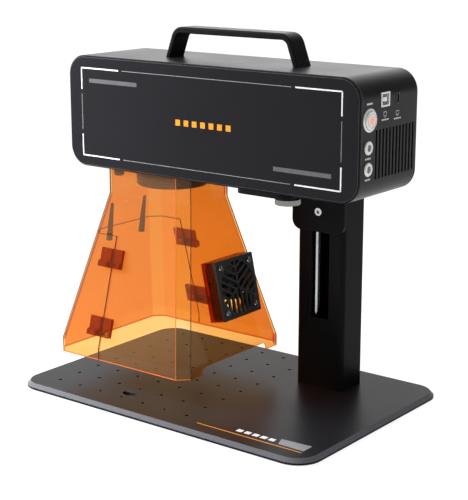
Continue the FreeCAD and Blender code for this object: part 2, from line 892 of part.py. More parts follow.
def usb_c_socket():
    y, z = port(usb_c_from_front, usb_c_drop)
    block = side_block(y, z, usb_c_width, usb_c_height, head_right - 9.0, head_right + 0.3)
    mouth = side_block(y, z, usb_c_width - 1.6, usb_c_height - 1.6, head_right - 6.0, head_right + 1)
    tongue = side_block(y, z, 0.8, usb_c_height - 3.2, head_right - 6.0, head_right - 0.4)
    return joined([block.cut(mouth), tongue])


# ---- fans, drawn flat in XY with the air leaving along +Z ----
def fan_frame(size, depth, pitch, hub_radius):
    frame = rounded_plate(size, size, 3.0, depth)
    bore_radius = size / 2 - fan_rim
    cuts = [cylinder(bore_radius, (0, 0, -1), (0, 0, depth + 1))]
    for x in (-pitch / 2, pitch / 2):
        for y in (-pitch / 2, pitch / 2):
            cuts.append(cylinder(grille_screw_radius, (x, y, -1), (x, y, depth + 1)))
    frame = frame.cut(cuts)
    mount = cylinder(hub_radius, (0, 0, 0), (0, 0, fan_mount_thickness))
    axle = cylinder(fan_axle_radius, (0, 0, 0), (0, 0, depth - 2.0))
    pieces = [frame, mount, axle]
    for number in range(3):
        strut = box((0, -1.3, 0), (bore_radius + 0.5, 1.3, fan_mount_thickness))
        strut.rotate(V(0, 0, 0), V(0, 0, 1), 90 + 120 * number)
        pieces.append(strut)
    return joined(pieces)


def fan_rotor(size, depth, hub_radius):
    low = fan_mount_thickness + 0.6
    high = depth - 0.8
    tip = size / 2 - fan_rim - 0.8
    hub = cylinder(hub_radius, (0, 0, low), (0, 0, high))
    hub = hub.makeChamfer(0.6, edges_at_height(hub, high))
    room = cylinder(tip, (0, 0, low + 0.3), (0, 0, high - 0.3))
    pieces = [hub]
    for number in range(fan_blades):
        blade = box((hub_radius - 1.0, -0.6, -depth), (tip + 1, 0.6, depth))
        blade.rotate(V(0, 0, 0), V(1, 0, 0), 48)
        blade.translate(V(0, 0, (low + high) / 2))
        blade.rotate(V(0, 0, 0), V(0, 0, 1), 360.0 * number / fan_blades)
        pieces.append(blade.common(room))
    rotor = joined(pieces)
    return rotor.cut(cylinder(fan_axle_radius + running_gap, (0, 0, low - 1), (0, 0, high + 1)))


def behind_vents(shape):
    """Put the cooling fan against the inside of the right wall."""
    y = head_front + vent_first_y + (vent_count - 1) * vent_pitch / 2
    z = head_underside + vent_low + vent_height / 2
    corner = V(shell_right_inside - head_fan_depth, y, z)
    return placed(shape, corner, V(0, 1, 0), V(0, 0, 1), V(1, 0, 0))


# ---- optics and electronics inside the head ----
def lens_barrel():
    low = head_underside - lens_drop
    barrel = cylinder(lens_radius, (lens_x, lens_y, low), (lens_x, lens_y, chassis_top))
    barrel = barrel.makeChamfer(1.2, edges_at_height(barrel, low))
    bore = cylinder(lens_radius - lens_wall, (lens_x, lens_y, low - 1), (lens_x, lens_y, chassis_top + 1))
    grooves = [
        ring(lens_radius + 1, lens_radius - 0.5, (lens_x, lens_y, low + rise),
             (lens_x, lens_y, low + rise + 1.0))
        for rise in (3.0, 5.0, 7.0, 9.0)
    ]
    return barrel.cut([bore] + grooves)


def field_lens():
    low = head_underside - lens_drop + 2.5
    radius = lens_radius - lens_wall
    disc = cylinder(radius, (lens_x, lens_y, low), (lens_x, lens_y, low + 6.0))
    dome = Part.makeSphere(110.0, V(lens_x, lens_y, low + 110.0))
    return disc.common(dome)


def galvo_block():
    block = box((block_left, block_front, chassis_top), (block_right, block_back, block_top))
    block = block.makeChamfer(1.5, edges_at_height(block, block_top))
    room = box(
        (block_left + galvo_wall, block_front + galvo_wall, chassis_top - 1),
        (block_right - galvo_wall, block_back - galvo_wall, block_top - galvo_wall),
    )
    shaft_room = galvo_shaft_radius + free_gap
    cuts = [
        room,
        cylinder(4.0, (block_right - galvo_wall - 1, beam_y, beam_z), (block_right + 1, beam_y, beam_z)),
        cylinder(shaft_room, (block_left - 1, lens_y, beam_z), (block_left + galvo_wall + 1, lens_y, beam_z)),
        cylinder(shaft_room, (lens_x, beam_y, block_top - galvo_wall - 1), (lens_x, beam_y, block_top + 1)),
    ]
    return block.cut(cuts)


def galvo_motor(start, away, length):
    end = start + away * length
    body = Part.makeCylinder(galvo_motor_radius, length, start, away)
    bore = Part.makeCylinder(galvo_shaft_radius + running_gap, galvo_shaft_depth + 2.0, start, away)
    cap = Part.makeCylinder(galvo_motor_radius - 2.0, 3.0, end, away)
    return joined([body, cap]).cut(bore)


def first_galvo_motor():
    return galvo_motor(V(lens_x, beam_y, block_top), V(0, 0, 1), first_motor_length)


def second_galvo_motor():
    return galvo_motor(V(block_left, lens_y, beam_z), V(-1, 0, 0), galvo_motor_length)


def first_mirror():
    plate = box(
        (-first_mirror_width / 2, -mirror_thickness / 2, -mirror_height / 2),
        (first_mirror_width / 2, mirror_thickness / 2, mirror_height / 2),
    )
    plate.rotate(V(0, 0, 0), V(0, 0, 1), 45)
    plate.translate(V(lens_x, beam_y, beam_z))
    return plate


def first_mirror_shaft():
    clamp_low = beam_z + mirror_height / 2
    clamp_high = clamp_low + clamp_length
    clamp = cylinder(clamp_radius, (lens_x, beam_y, clamp_low), (lens_x, beam_y, clamp_high))
    shaft = cylinder(galvo_shaft_radius, (lens_x, beam_y, clamp_high),
                     (lens_x, beam_y, block_top + galvo_shaft_depth))
    return joined([clamp, shaft])


def second_mirror():
    plate = box(
        (-second_mirror_length / 2, -mirror_height / 2, -mirror_thickness / 2),
        (second_mirror_length / 2, mirror_height / 2, mirror_thickness / 2),
    )
    plate.rotate(V(0, 0, 0), V(1, 0, 0), 45)
    plate.translate(V(lens_x, lens_y, beam_z))
    return plate


def second_mirror_shaft():
    clamp_right = lens_x - second_mirror_length / 2
    clamp_left = clamp_right - clamp_length
    clamp = cylinder(clamp_radius, (clamp_left, lens_y, beam_z), (clamp_right, lens_y, beam_z))
    shaft = cylinder(galvo_shaft_radius, (block_left - galvo_shaft_depth, lens_y, beam_z),
                     (clamp_left, lens_y, beam_z))
    return joined([clamp, shaft])


def laser_source():
    body = box(
        (source_left, beam_y - source_width / 2, chassis_top),
        (source_left + source_length, beam_y + source_width / 2, chassis_top + source_height),
    )
    body = body.makeChamfer(2.0, [e for e in body.Edges if e.BoundBox.XLength < 1e-3])
    nozzle = ring(6.0, 3.0, (block_right, beam_y, beam_z), (source_left, beam_y, beam_z))
    return joined([body, nozzle])


def laser_heat_sink():
    low = chassis_top + source_height
    left = source_left + 5.0
    right = source_left + source_length - 5.0
    half = source_width / 2 - 3.0
    sink = [box((left, beam_y - half, low), (right, beam_y + half, low + 3.0))]
    fins = 9
    for number in range(fins):
        y = beam_y - half + number * (2 * half - 1.4) / (fins - 1)
        sink.append(box((left, y, low + 3.0), (right, y + 1.4, low + sink_height)))
    return joined(sink)


def control_board():
    front = shell_front + board_standoff
    back = front + board_thickness
    low_x, low_z = board_corners[0]
    high_x, high_z = board_corners[-1]
    board = box((low_x - 5.0, front, low_z - 5.0), (high_x + 5.0, back, high_z + 5.0))
    parts = [board]
    for x, z, width, height, proud in (
        (30.0, 240.0, 18.0, 18.0, 2.0),
        (60.0, 262.0, 12.0, 9.0, 2.0),
        (95.0, 232.0, 14.0, 14.0, 8.0),
        (108.0, 268.0, 10.0, 16.0, 6.0),
    ):
        parts.append(box((x, back, z), (x + width, back + proud, z + height)))
    return joined(parts)


def board_spacers():
    front = shell_front
    return group([cylinder(3.0, (x, front, z), (x, front + board_standoff, z)) for x, z in board_corners])


def galvo_driver_board():
    left = block_left - galvo_motor_length - 8.0
    board = box((left, -32.0, chassis_top), (left + board_thickness, 30.0, chassis_top + 66.0))
    sink = box((left - 6.0, -20.0, chassis_top + 20.0), (left, 18.0, chassis_top + 50.0))
    return joined([board, sink])


# ---- shield ----
def half_sizes(z):
    """Outer half sizes of the shield at one height."""
    share = min(1.0, max(0.0, (kink_z - z) / slope_height))
    half_x = collar_half_x + share * (skirt_half_x - collar_half_x)
    half_y = collar_half_y + share * (skirt_half_y - collar_half_y)
    return half_x, half_y


def octagon(z, inset, at):
    half_x, half_y = half_sizes(at)
    half_x -= inset
    half_y -= inset
    cut = shield_corner_cut - inset * (2 - math.sqrt(2))
    outline = [
        (half_x, half_y - cut), (half_x - cut, half_y), (cut - half_x, half_y), (-half_x, half_y - cut),
        (-half_x, cut - half_y), (cut - half_x, -half_y), (half_x - cut, -half_y), (half_x, cut - half_y),
    ]
    return [V(shield_x + x, shield_y + y, z) for x, y in outline]


def shield_panel(side, low, high, low_level, high_level):
    """One flat wall panel between two heights, mitred against its neighbours."""
    after = (side + 1) % 8
    outside = []
    inside = []
    for z, level in ((low, low_level), (high, high_level)):
        outer = octagon(z, 0, level)
        inner = octagon(z, shield_wall, level)
        outside.append((outer[side], outer[after]))
        inside.append((inner[side], inner[after]))
    (a, b), (d, c) = outside
    (e, f), (h, g) = inside
    quads = ((a, b, c, d), (e, f, g, h), (a, b, f, e), (b, c, g, f), (c, d, h, g), (d, a, e, h))
    faces = [Part.Face(Part.makePolygon(list(quad) + [quad[0]])) for quad in quads]
    return Part.makeSolid(Part.makeShell(faces))


def shield_panels(sides, top):
    """Glued panels of the given sides, from the skirt's lower edge up to a height."""
    bands = [(shield_low, fold_z, fold_z, fold_z), (fold_z, door_seam, fold_z, door_seam)]
    if top > door_seam:
        bands += [(door_seam, kink_z, door_seam, kink_z), (kink_z, shield_top, kink_z, kink_z)]
    return [shield_panel(side, *band) for band in bands for side in sides]


def door_region(gap):
    """Everything left of the door's edge and below its top, drawn in by a gap, with the seam above."""
    return box(
        (shield_x - skirt_half_x - 40.0, shield_y - skirt_half_y - 40.0, shield_low - 10.0),
        (door_edge_x - gap, shield_y + skirt_half_y + 40.0, door_top - gap),
    )


def right_slope_frame(z):
    half_x, half_y = half_sizes(z)
    up = V(-math.sin(slope_turn_x), 0, math.cos(slope_turn_x))
    outward = V(math.cos(slope_turn_x), 0, math.sin(slope_turn_x))
    return V(shield_x + half_x, shield_y, z), V(0, 1, 0), up, outward


def long_slope_frame(side, z):
    """Frame on the front (-1) or rear (+1) slope, at the door's edge."""
    half_x, half_y = half_sizes(z)
    up = V(0, -side * math.sin(slope_turn_y), math.cos(slope_turn_y))
    outward = V(0, side * math.cos(slope_turn_y), math.sin(slope_turn_y))
    return V(door_edge_x, shield_y + side * half_y, z), V(-side, 0, 0), up, outward


def shield_flange():
    """Ring plate glued inside the collar, clamped under the head."""
    flange_low = shield_top - flange_thickness
    outline = octagon(flange_low, shield_wall + fit_gap, kink_z)
    flange = polygon_prism([tuple(corner) for corner in outline], (0, 0, flange_thickness))
    cuts = [cylinder(lens_radius + slide_gap, (lens_x, lens_y, flange_low - 1),
                     (lens_x, lens_y, shield_top + 1))]
    for x, y in shield_knob_places():
        cuts.append(cylinder(shield_stud_radius, (x, y, flange_low - 1), (x, y, shield_top + 1)))
    return flange.cut(cuts)


def shield_body():
    keep_off = door_region(-door_gap / 2)
    fan_hole = Part.makeCylinder(exhaust_fan_size / 2 - 2.0, 10.0, V(0, 0, -5.0), V(0, 0, 1))
    notch = rounded_plate(2 * notch_half_width, 2 * notch_height, notch_corner_radius, 10.0)
    notch_corner = V(shield_x + skirt_half_x - 5.0, shield_y, shield_low)
    cuts = [
        keep_off,
        on_right_slope(fan_hole),
        placed(notch, notch_corner, V(0, 1, 0), V(0, 0, 1), V(1, 0, 0)),
    ]
    panels = []
    for panel in shield_panels(range(8), shield_top):
        panels += panel.cut(cuts).Solids
    return group(panels)


def shield_door():
    region = door_region(door_gap / 2)
    panels = []
    for panel in shield_panels(range(8), door_seam):
        panels += panel.common(region).Solids
    return group(panels)


def shield_knobs():
    knobs = []
    low = shield_top - flange_thickness
    for x, y in shield_knob_places():
        knob = cylinder(shield_knob_radius, (x, y, low - shield_knob_height), (x, y, low))
        knob = knob.makeChamfer(0.6, edges_at_height(knob, low - shield_knob_height))
        stud = cylinder(shield_stud_radius, (x, y, low), (x, y, chassis_top))
        knobs.append(joined([knob, stud]))
    return group(knobs)


def door_guides():
    """Two wedges on the left wall that the door's top edge closes against."""
    def wall_inside(z):
        return shield_x - half_sizes(z)[0] + shield_wall

    step_z = door_top + door_gap / 2
    high_z = door_top + guide_rise
    low_z = door_top - guide_reach
    profile = [
        (wall_inside(high_z), high_z),
        (wall_inside(step_z), step_z),
        (wall_inside(step_z) + 0.5, step_z),
        (wall_inside(low_z) + 0.5, low_z),
        (wall_inside(low_z) + guide_depth, low_z),
    ]
    guides = []
    for side in (-1, 1):
        y = shield_y + side * guide_spacing / 2 - guide_thickness / 2
        guides.append(polygon_prism([(x, y, z) for x, z in profile], (0, guide_thickness, 0)))
    return group(guides)


def catch_half(inner, outer):
    """Block with a thick lower rib and a bore for its magnet, in local X from inner to outer."""
    start = min(inner, outer)
    length = abs(outer - inner)
    half = catch_height / 2
    step = catch_rib_height - half
    profile = [
        (start, -half, 0), (start, half, 0), (start, half, catch_thickness), (start, step, catch_thickness),
        (start, step, catch_rib_thickness), (start, -half, catch_rib_thickness),
    ]
    block = polygon_prism(profile, (length, 0, 0))
    return block.cut(catch_magnet(inner, outer))


def catch_magnet(inner, outer):
    side = math.copysign(1, outer - inner)
    y = (catch_rib_height - catch_height) / 2
    z = catch_rib_thickness / 2
    return cylinder(catch_magnet_radius, (inner, y, z), (inner + side * catch_magnet_length, y, z))


def catch_set(maker, on_door):
    pieces = []
    for side in (-1, 1):
        for drop in catch_drops:
            towards = -1 if on_door else 1
            sign = -side * towards
            near = sign * door_gap / 2
            far = sign * catch_width / 2
            pieces.append(placed(maker(near, far), *long_slope_frame(side, shield_top - drop)))
    return group(pieces)


# ---- exhaust fan on the right slope ----
def on_right_slope(shape):
    return placed(shape, *right_slope_frame(shield_top - fan_box_drop))


def exhaust_fan_box():
    outer = rounded_plate(fan_box_size, fan_box_size, 1.0, fan_box_depth)
    inner = box((-exhaust_fan_size / 2 - fit_gap, -exhaust_fan_size / 2 - fit_gap, -1),
                (exhaust_fan_size / 2 + fit_gap, exhaust_fan_size / 2 + fit_gap, fan_box_depth + 1))
    wire_hole = cylinder(1.5, (-fan_box_size, 8.0, 7.0), (0, 8.0, 7.0))
    return outer.cut([inner, wire_hole])


def grille_slots():
    """Slots of three equal sectors, each with its own straight slats."""
    slots = []
    reach = grille_circle_radius
    disc = cylinder(reach, (0, 0, -1), (0, 0, grille_thickness + 1))
    tip = grille_rib / 2 / math.sin(math.radians(60))
    far = tip + reach * 2 / math.tan(math.radians(60))
    wedge = polygon_prism(
        [(0, -tip, -1), (reach * 2, -far, -1), (-reach * 2, -far, -1)],
        (0, 0, grille_thickness + 2),
    )
    room = disc.common(wedge)
    for number in range(-3, 4):
        middle = number * grille_slat_pitch
        strip = box(
            (middle - (grille_slat_pitch - grille_rib) / 2, -reach * 2, -1),
            (middle + (grille_slat_pitch - grille_rib) / 2, 0, grille_thickness + 1),
        )
        piece = room.common(strip)
        if piece.Volume > 10.0:
            slots.append(piece)
    turned = []
    for number in range(3):
        for slot in slots:
            copy = slot.copy()
            copy.rotate(V(0, 0, 0), V(0, 0, 1), 120 * number)
            turned.append(copy)
    return turned


def exhaust_grille():
    plate = rounded_plate(fan_box_size, fan_box_size, 1.0, grille_thickness)
    cuts = grille_slots()
    cuts.append(cylinder(1.0, (0, 0, -1), (0, 0, grille_thickness + 1)))
    for x, y in exhaust_screw_places():
        cuts.append(cylinder(grille_screw_radius, (x, y, -1), (x, y, grille_thickness + 1)))
    plate = plate.cut(cuts)
    plate.translate(V(0, 0, fan_box_depth))
    return plate


def exhaust_screw_places():
    half = exhaust_fan_pitch / 2
    return [(x, y) for x in (-half, half) for y in (-half, half)]


def exhaust_screws():
    face = fan_box_depth + grille_thickness
    screws = []
    for x, y in exhaust_screw_places():
        dome = cylinder(grille_screw_head, (x, y, face), (x, y, face + 1.2))
        dome = dome.makeChamfer(0.5, edges_at_height(dome, face + 1.2))
        shank = cylinder(grille_screw_radius, (x, y, fan_box_depth - exhaust_fan_depth), (x, y, face))
        socket = cylinder(0.9, (x, y, face + 0.5), (x, y, face + 2))
        screws.append(joined([dome, shank]).cut(socket))
    return group(screws)


def in_fan_box(shape):
    copy = shape.copy()
    copy.translate(V(0, 0, fan_box_depth - exhaust_fan_depth))
    return on_right_slope(copy)


# ---- write every sub-part ----
save("base_plate", base_plate())
save("base_feet", base_feet())
save("column_tube", column_tube())
save("column_foot_block", column_foot_block())
save("column_bolts", column_bolts())
save("column_top_cap", column_top_cap())
save("guide_rods", guide_rods())
save("screw_bearings", screw_bearings())
save("lead_screw", lead_screw())
save("hand_wheel", hand_wheel())
save("lift_carriage", carriage_block())
save("carriage_bushings", carriage_bushings())
save("lift_nut", lift_nut())
save("head_bracket", head_bracket())
save("bracket_screws", bracket_screws())
save("thumb_screw", thumb_screw())
save("head_shell", head_shell())
save("front_panel", front_panel())
save("rear_panel", rear_panel())
save("panel_tie_bolts", panel_tie_bolts())
save("chassis_plate", chassis_plate())
save("carry_handle", carry_handle())
save("handle_screws", handle_screws())
save("power_button_bezel", power_button_bezel())
save("power_button", power_button())
save("power_light", power_light())
save("dc_jacks", dc_jacks())
save("usb_b_socket", usb_b_socket())
save("usb_c_socket", usb_c_socket())
save("head_fan_frame", behind_vents(fan_frame(head_fan_size, head_fan_depth, head_fan_pitch,
                                              head_fan_hub_radius)))
save("head_fan_rotor", behind_vents(fan_rotor(head_fan_size, head_fan_depth, head_fan_hub_radius)))
save("lens_barrel", lens_barrel())
save("field_lens", field_lens())
save("galvo_block", galvo_block())
save("first_galvo_motor", first_galvo_motor())
save("second_galvo_motor", second_galvo_motor())
save("first_mirror", first_mirror())
save("first_mirror_shaft", first_mirror_shaft())
save("second_mirror", second_mirror())
save("second_mirror_shaft", second_mirror_shaft())
save("laser_source", laser_source())
save("laser_heat_sink", laser_heat_sink())
save("control_board", control_board())
save("board_spacers", board_spacers())
save("galvo_driver_board", galvo_driver_board())
save("shield_body", shield_body())
save("shield_flange", shield_flange())
save("shield_knobs", shield_knobs())
save("door_guides", door_guides())
save("fixed_catch_blocks", catch_set(catch_half, False))
save("fixed_catch_magnets", catch_set(catch_magnet, False))
save("shield_door", shield_door())
save("door_catch_blocks", catch_set(catch_half, True))
save("door_catch_magnets", catch_set(catch_magnet, True))
save("exhaust_fan_box", on_right_slope(exhaust_fan_box()))
save("exhaust_fan_frame", in_fan_box(fan_frame(exhaust_fan_size, exhaust_fan_depth, exhaust_fan_pitch,
                                               fan_hub_radius)))
save("exhaust_fan_rotor", in_fan_box(fan_rotor(exhaust_fan_size, exhaust_fan_depth, fan_hub_radius)))
save("exhaust_grille", on_right_slope(exhaust_grille()))
save("exhaust_screws", on_right_slope(exhaust_screws()))
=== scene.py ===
import math
import bmesh
import bpy
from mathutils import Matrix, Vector


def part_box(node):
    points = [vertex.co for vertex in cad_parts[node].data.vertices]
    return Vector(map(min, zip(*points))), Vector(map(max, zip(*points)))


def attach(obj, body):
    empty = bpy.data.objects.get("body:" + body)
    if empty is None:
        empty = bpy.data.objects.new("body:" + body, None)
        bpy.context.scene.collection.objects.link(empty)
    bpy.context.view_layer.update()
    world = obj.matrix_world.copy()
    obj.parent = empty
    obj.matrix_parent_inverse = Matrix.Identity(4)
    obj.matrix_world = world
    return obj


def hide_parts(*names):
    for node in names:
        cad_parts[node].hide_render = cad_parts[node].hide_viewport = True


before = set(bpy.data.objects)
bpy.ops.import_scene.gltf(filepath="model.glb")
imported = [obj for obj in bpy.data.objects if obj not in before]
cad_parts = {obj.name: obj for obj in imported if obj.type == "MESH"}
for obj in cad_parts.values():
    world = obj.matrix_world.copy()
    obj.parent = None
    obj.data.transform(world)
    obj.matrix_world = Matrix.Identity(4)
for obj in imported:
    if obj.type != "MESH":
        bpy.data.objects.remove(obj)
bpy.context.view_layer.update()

# Desktop laser engraver: coated metal head and column, tinted acrylic shield, drilled base plate.
# Lengths in the dictionaries are millimetres unless a name says otherwise.

mm = 0.001


# Small helpers.
def linearColour(hexText, alpha=1.0):
    values = []
    for start in (1, 3, 5):
        channel = int(hexText[start:start + 2], 16) / 255
        values.append(channel / 12.92 if channel <= 0.04045 else ((channel + 0.055) / 1.055) ** 2.4)
    return (*values, alpha)


def addNode(tree, kind, settings=None, values=None, links=None):
    node = tree.nodes.new(kind)
    for name, value in (settings or {}).items():
        setattr(node, name, value)
    for name, value in (values or {}).items():
        node.inputs[name].default_value = value
    for name, socket in (links or {}).items():
        tree.links.new(socket, node.inputs[name])
    return node


def perMetre(sizeMm):
    return 1000.0 / sizeMm


def emptyMaterial(name):
    material = bpy.data.materials.new(name)
    material.use_nodes = True
    material.node_tree.nodes.clear()
    return material, material.node_tree


finishDefaults = {
    "stretch": (1.0, 1.0, 1.0), "patchMm": 60.0, "speck": 0.25, "edgeMm": 0.4, "edgeWearAndHighlight": 0.0,
    "roughSpread": 0.05, "bumpStrength": 0.5, "metallic": 0.0, "ior": 1.5, "specular": 0.5,
    "coat": 0.0, "coatRoughness": 0.1, "glow": 0.0,
}
acrylicDefaults = {"longest": 5.0, "grazing": 0.6, "facing": 0.035, "edgePower": 5.0, "rippleStrength": 0.1}
noiseSpan = (0.3, 0.7)  # where nearly all of a noise texture's values lie
speckSpan = (0.35, 0.75)  # the grain's upper part, which shows as specks
edgeSpan = (0.99, 0.86)  # cosine between true and rounded normal, from open face to sharp edge
cutLean, cutSpread = 0.707, 0.2  # upward part of a 45 degree cut's normal, and how far off still counts
faintestChamferHighlight = 0.6  # share of the painted chamfer highlight that is left where a streak dulls it


def surfaceFinish(look):
    # Opaque finish: two close tones, a fine grain, uneven roughness, and edges that are lightly worn and
    # carry a painted highlight.
    look = {**finishDefaults, **look}
    material, tree = emptyMaterial(look["name"])
    coords = addNode(tree, "ShaderNodeTexCoord")
    mapped = addNode(tree, "ShaderNodeMapping", values={"Scale": look["stretch"]},
                     links={"Vector": coords.outputs["Object"]})
    patches = addNode(tree, "ShaderNodeTexNoise",
                      values={"Scale": perMetre(look["patchMm"]), "Detail": 3.0, "Roughness": 0.55},
                      links={"Vector": coords.outputs["Object"]})
    grain = addNode(tree, "ShaderNodeTexNoise",
                    values={"Scale": perMetre(look["grainMm"]), "Detail": 4.0, "Roughness": 0.6},
                    links={"Vector": mapped.outputs["Vector"]})
    toneAmount = addNode(tree, "ShaderNodeMapRange",
                         values={"From Min": noiseSpan[0], "From Max": noiseSpan[1],
                                 "To Min": 0.0, "To Max": 1.0},
                         links={"Value": patches.outputs["Fac"]})
    tones = addNode(tree, "ShaderNodeMix", {"data_type": "RGBA"},
                    links={"Factor": toneAmount.outputs["Result"]})
    tones.inputs["A"].default_value = linearColour(look["colour"])
    tones.inputs["B"].default_value = linearColour(look["otherColour"])
    speckAmount = addNode(tree, "ShaderNodeMapRange",
                          values={"From Min": speckSpan[0], "From Max": speckSpan[1], "To Min": 0.0,
                                  "To Max": look["speck"]},
                          links={"Value": grain.outputs["Fac"]})
    specks = addNode(tree, "ShaderNodeMix", {"data_type": "RGBA"},
                     links={"Factor": speckAmount.outputs["Result"], "A": tones.outputs["Result"]})
    specks.inputs["B"].default_value = linearColour(look["speckColour"])
    colourOut = specks.outputs["Result"]

    rounded = addNode(tree, "ShaderNodeBevel", {"samples": 6}, {"Radius": look["edgeMm"] * mm})
    # Lighter colour along the edges: partly wear, partly a painted highlight where the edges catch light.
    if look["edgeWearAndHighlight"] > 0:
        geometry = addNode(tree, "ShaderNodeNewGeometry")
        facing = addNode(tree, "ShaderNodeVectorMath", {"operation": "DOT_PRODUCT"})
        tree.links.new(rounded.outputs["Normal"], facing.inputs[0])
        tree.links.new(geometry.outputs["Normal"], facing.inputs[1])
        edge = addNode(tree, "ShaderNodeMapRange",
                       values={"From Min": edgeSpan[0], "From Max": edgeSpan[1],
                               "To Min": 0.0, "To Max": look["edgeWearAndHighlight"]},
                       links={"Value": facing.outputs["Value"]})
        rubbedAndLitEdge = addNode(tree, "ShaderNodeMath", {"operation": "MULTIPLY"},
                         links={0: edge.outputs["Result"], 1: grain.outputs["Fac"]})
        wornAndLitColour = addNode(tree, "ShaderNodeMix", {"data_type": "RGBA"},
                       links={"Factor": rubbedAndLitEdge.outputs["Value"], "A": colourOut})
        wornAndLitColour.inputs["B"].default_value = linearColour(look["edgeWearAndHighlightColour"])
        colourOut = wornAndLitColour.outputs["Result"]

    if "chamferHighlightColour" in look:
        # A painted highlight lies on faces that lean half way between flat and upright, such as a chamfer.
        lean = addNode(tree, "ShaderNodeSeparateXYZ",
                       links={"Vector": addNode(tree, "ShaderNodeNewGeometry").outputs["Normal"]})
        isCut = addNode(tree, "ShaderNodeMath", {"operation": "COMPARE"}, {1: cutLean, 2: cutSpread},
                        {0: lean.outputs["Z"]})
        streaked = addNode(tree, "ShaderNodeMapRange",
                           values={"From Min": noiseSpan[0], "From Max": noiseSpan[1],
                                   "To Min": faintestChamferHighlight, "To Max": 1.0},
                           links={"Value": grain.outputs["Fac"]})
        chamferHighlightAmount = addNode(tree, "ShaderNodeMath", {"operation": "MULTIPLY"},
                            links={0: isCut.outputs["Value"], 1: streaked.outputs["Result"]})
        cut = addNode(tree, "ShaderNodeMix", {"data_type": "RGBA"},
                      links={"Factor": chamferHighlightAmount.outputs["Value"], "A": colourOut})
        cut.inputs["B"].default_value = linearColour(look["chamferHighlightColour"])
        colourOut = cut.outputs["Result"]

    roughRange = addNode(tree, "ShaderNodeMapRange",
                         values={"From Min": noiseSpan[0], "From Max": noiseSpan[1],
                                 "To Min": look["roughness"] - look["roughSpread"],
                                 "To Max": look["roughness"] + look["roughSpread"]},
                         links={"Value": patches.outputs["Fac"]})
    bump = addNode(tree, "ShaderNodeBump",
                   values={"Strength": look["bumpStrength"], "Distance": look["bumpMm"] * mm},
                   links={"Height": grain.outputs["Fac"], "Normal": rounded.outputs["Normal"]})
    shader = addNode(tree, "ShaderNodeBsdfPrincipled",
                     values={"Metallic": look["metallic"], "IOR": look["ior"],
                             "Specular IOR Level": look["specular"],
                             "Coat Weight": look["coat"], "Coat Roughness": look["coatRoughness"]},
                     links={"Base Color": colourOut, "Roughness": roughRange.outputs["Result"],
                            "Normal": bump.outputs["Normal"]})
    if look["glow"] > 0:
        shader.inputs["Emission Color"].default_value = linearColour(look["glowColour"])
        shader.inputs["Emission Strength"].default_value = look["glow"]
    addNode(tree, "ShaderNodeOutputMaterial", links={"Surface": shader.outputs["BSDF"]})
    return material


def acrylicFinish(look):
    # Clear tinted sheet. Light that crosses it slantwise goes a longer way through and comes out deeper,
    # which the power on the tint stands for, and the surface mirrors more as it turns edge-on.
    look = {**acrylicDefaults, **look}
    material, tree = emptyMaterial(look["name"])
    coords = addNode(tree, "ShaderNodeTexCoord")
    haze = addNode(tree, "ShaderNodeTexNoise",
                   values={"Scale": perMetre(look["hazeMm"]), "Detail": 3.0},
                   links={"Vector": coords.outputs["Object"]})
    tint = addNode(tree, "ShaderNodeMix", {"data_type": "RGBA"}, links={"Factor": haze.outputs["Fac"]})
    tint.inputs["A"].default_value = linearColour(look["tint"])
    tint.inputs["B"].default_value = linearColour(look["otherTint"])
    slant = addNode(tree, "ShaderNodeLayerWeight", values={"Blend": 0.5})
    straightness = addNode(tree, "ShaderNodeMapRange",
                           values={"From Min": 0.0, "From Max": 1.0, "To Min": 1.0, "To Max": 0.0},
                           links={"Value": slant.outputs["Facing"]})
    path = addNode(tree, "ShaderNodeMath", {"operation": "DIVIDE"}, {0: 1.0},
                   links={1: straightness.outputs["Result"]})
    limited = addNode(tree, "ShaderNodeMath", {"operation": "MINIMUM"}, {1: look["longest"]},
                      links={0: path.outputs["Value"]})
    deepened = addNode(tree, "ShaderNodeGamma", links={"Color": tint.outputs["Result"],
                                                       "Gamma": limited.outputs["Value"]})
    ripple = addNode(tree, "ShaderNodeBump",
                     values={"Strength": look["rippleStrength"], "Distance": look["rippleMm"] * mm},
                     links={"Height": haze.outputs["Fac"]})
    through = addNode(tree, "ShaderNodeBsdfTransparent", links={"Color": deepened.outputs["Color"]})
    body = addNode(tree, "ShaderNodeBsdfDiffuse", links={"Normal": ripple.outputs["Normal"]})
    body.inputs["Color"].default_value = linearColour(look["body"])
    hazed = addNode(tree, "ShaderNodeMixShader", {}, {"Fac": look["bodyShare"]})
    tree.links.new(through.outputs["BSDF"], hazed.inputs[1])
    tree.links.new(body.outputs["BSDF"], hazed.inputs[2])
    gloss = addNode(tree, "ShaderNodeBsdfGlossy", {}, {"Roughness": look["roughness"]},
                    links={"Normal": ripple.outputs["Normal"]})
    edgeOn = addNode(tree, "ShaderNodeMath", {"operation": "POWER"}, {1: look["edgePower"]},
                     links={0: slant.outputs["Facing"]})
    mirror = addNode(tree, "ShaderNodeMath", {"operation": "MULTIPLY_ADD"},
                     {1: look["grazing"], 2: look["facing"]},
                     links={0: edgeOn.outputs["Value"]})
    sheet = addNode(tree, "ShaderNodeMixShader", links={"Fac": mirror.outputs["Value"]})
    tree.links.new(hazed.outputs["Shader"], sheet.inputs[1])
    tree.links.new(gloss.outputs["BSDF"], sheet.inputs[2])
    addNode(tree, "ShaderNodeOutputMaterial", links={"Surface": sheet.outputs["Shader"]})
    return material


def dress(material, *names):
    for name in names:
        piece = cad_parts[name]
        if not piece.material_slots:
            piece.data.materials.append(material)
        for slot in piece.material_slots:
            slot.material = material


def finishPiece(piece, material, body):
    piece.data.materials.append(material)
    bpy.context.scene.collection.objects.link(piece)
    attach(piece, body)
    return piece


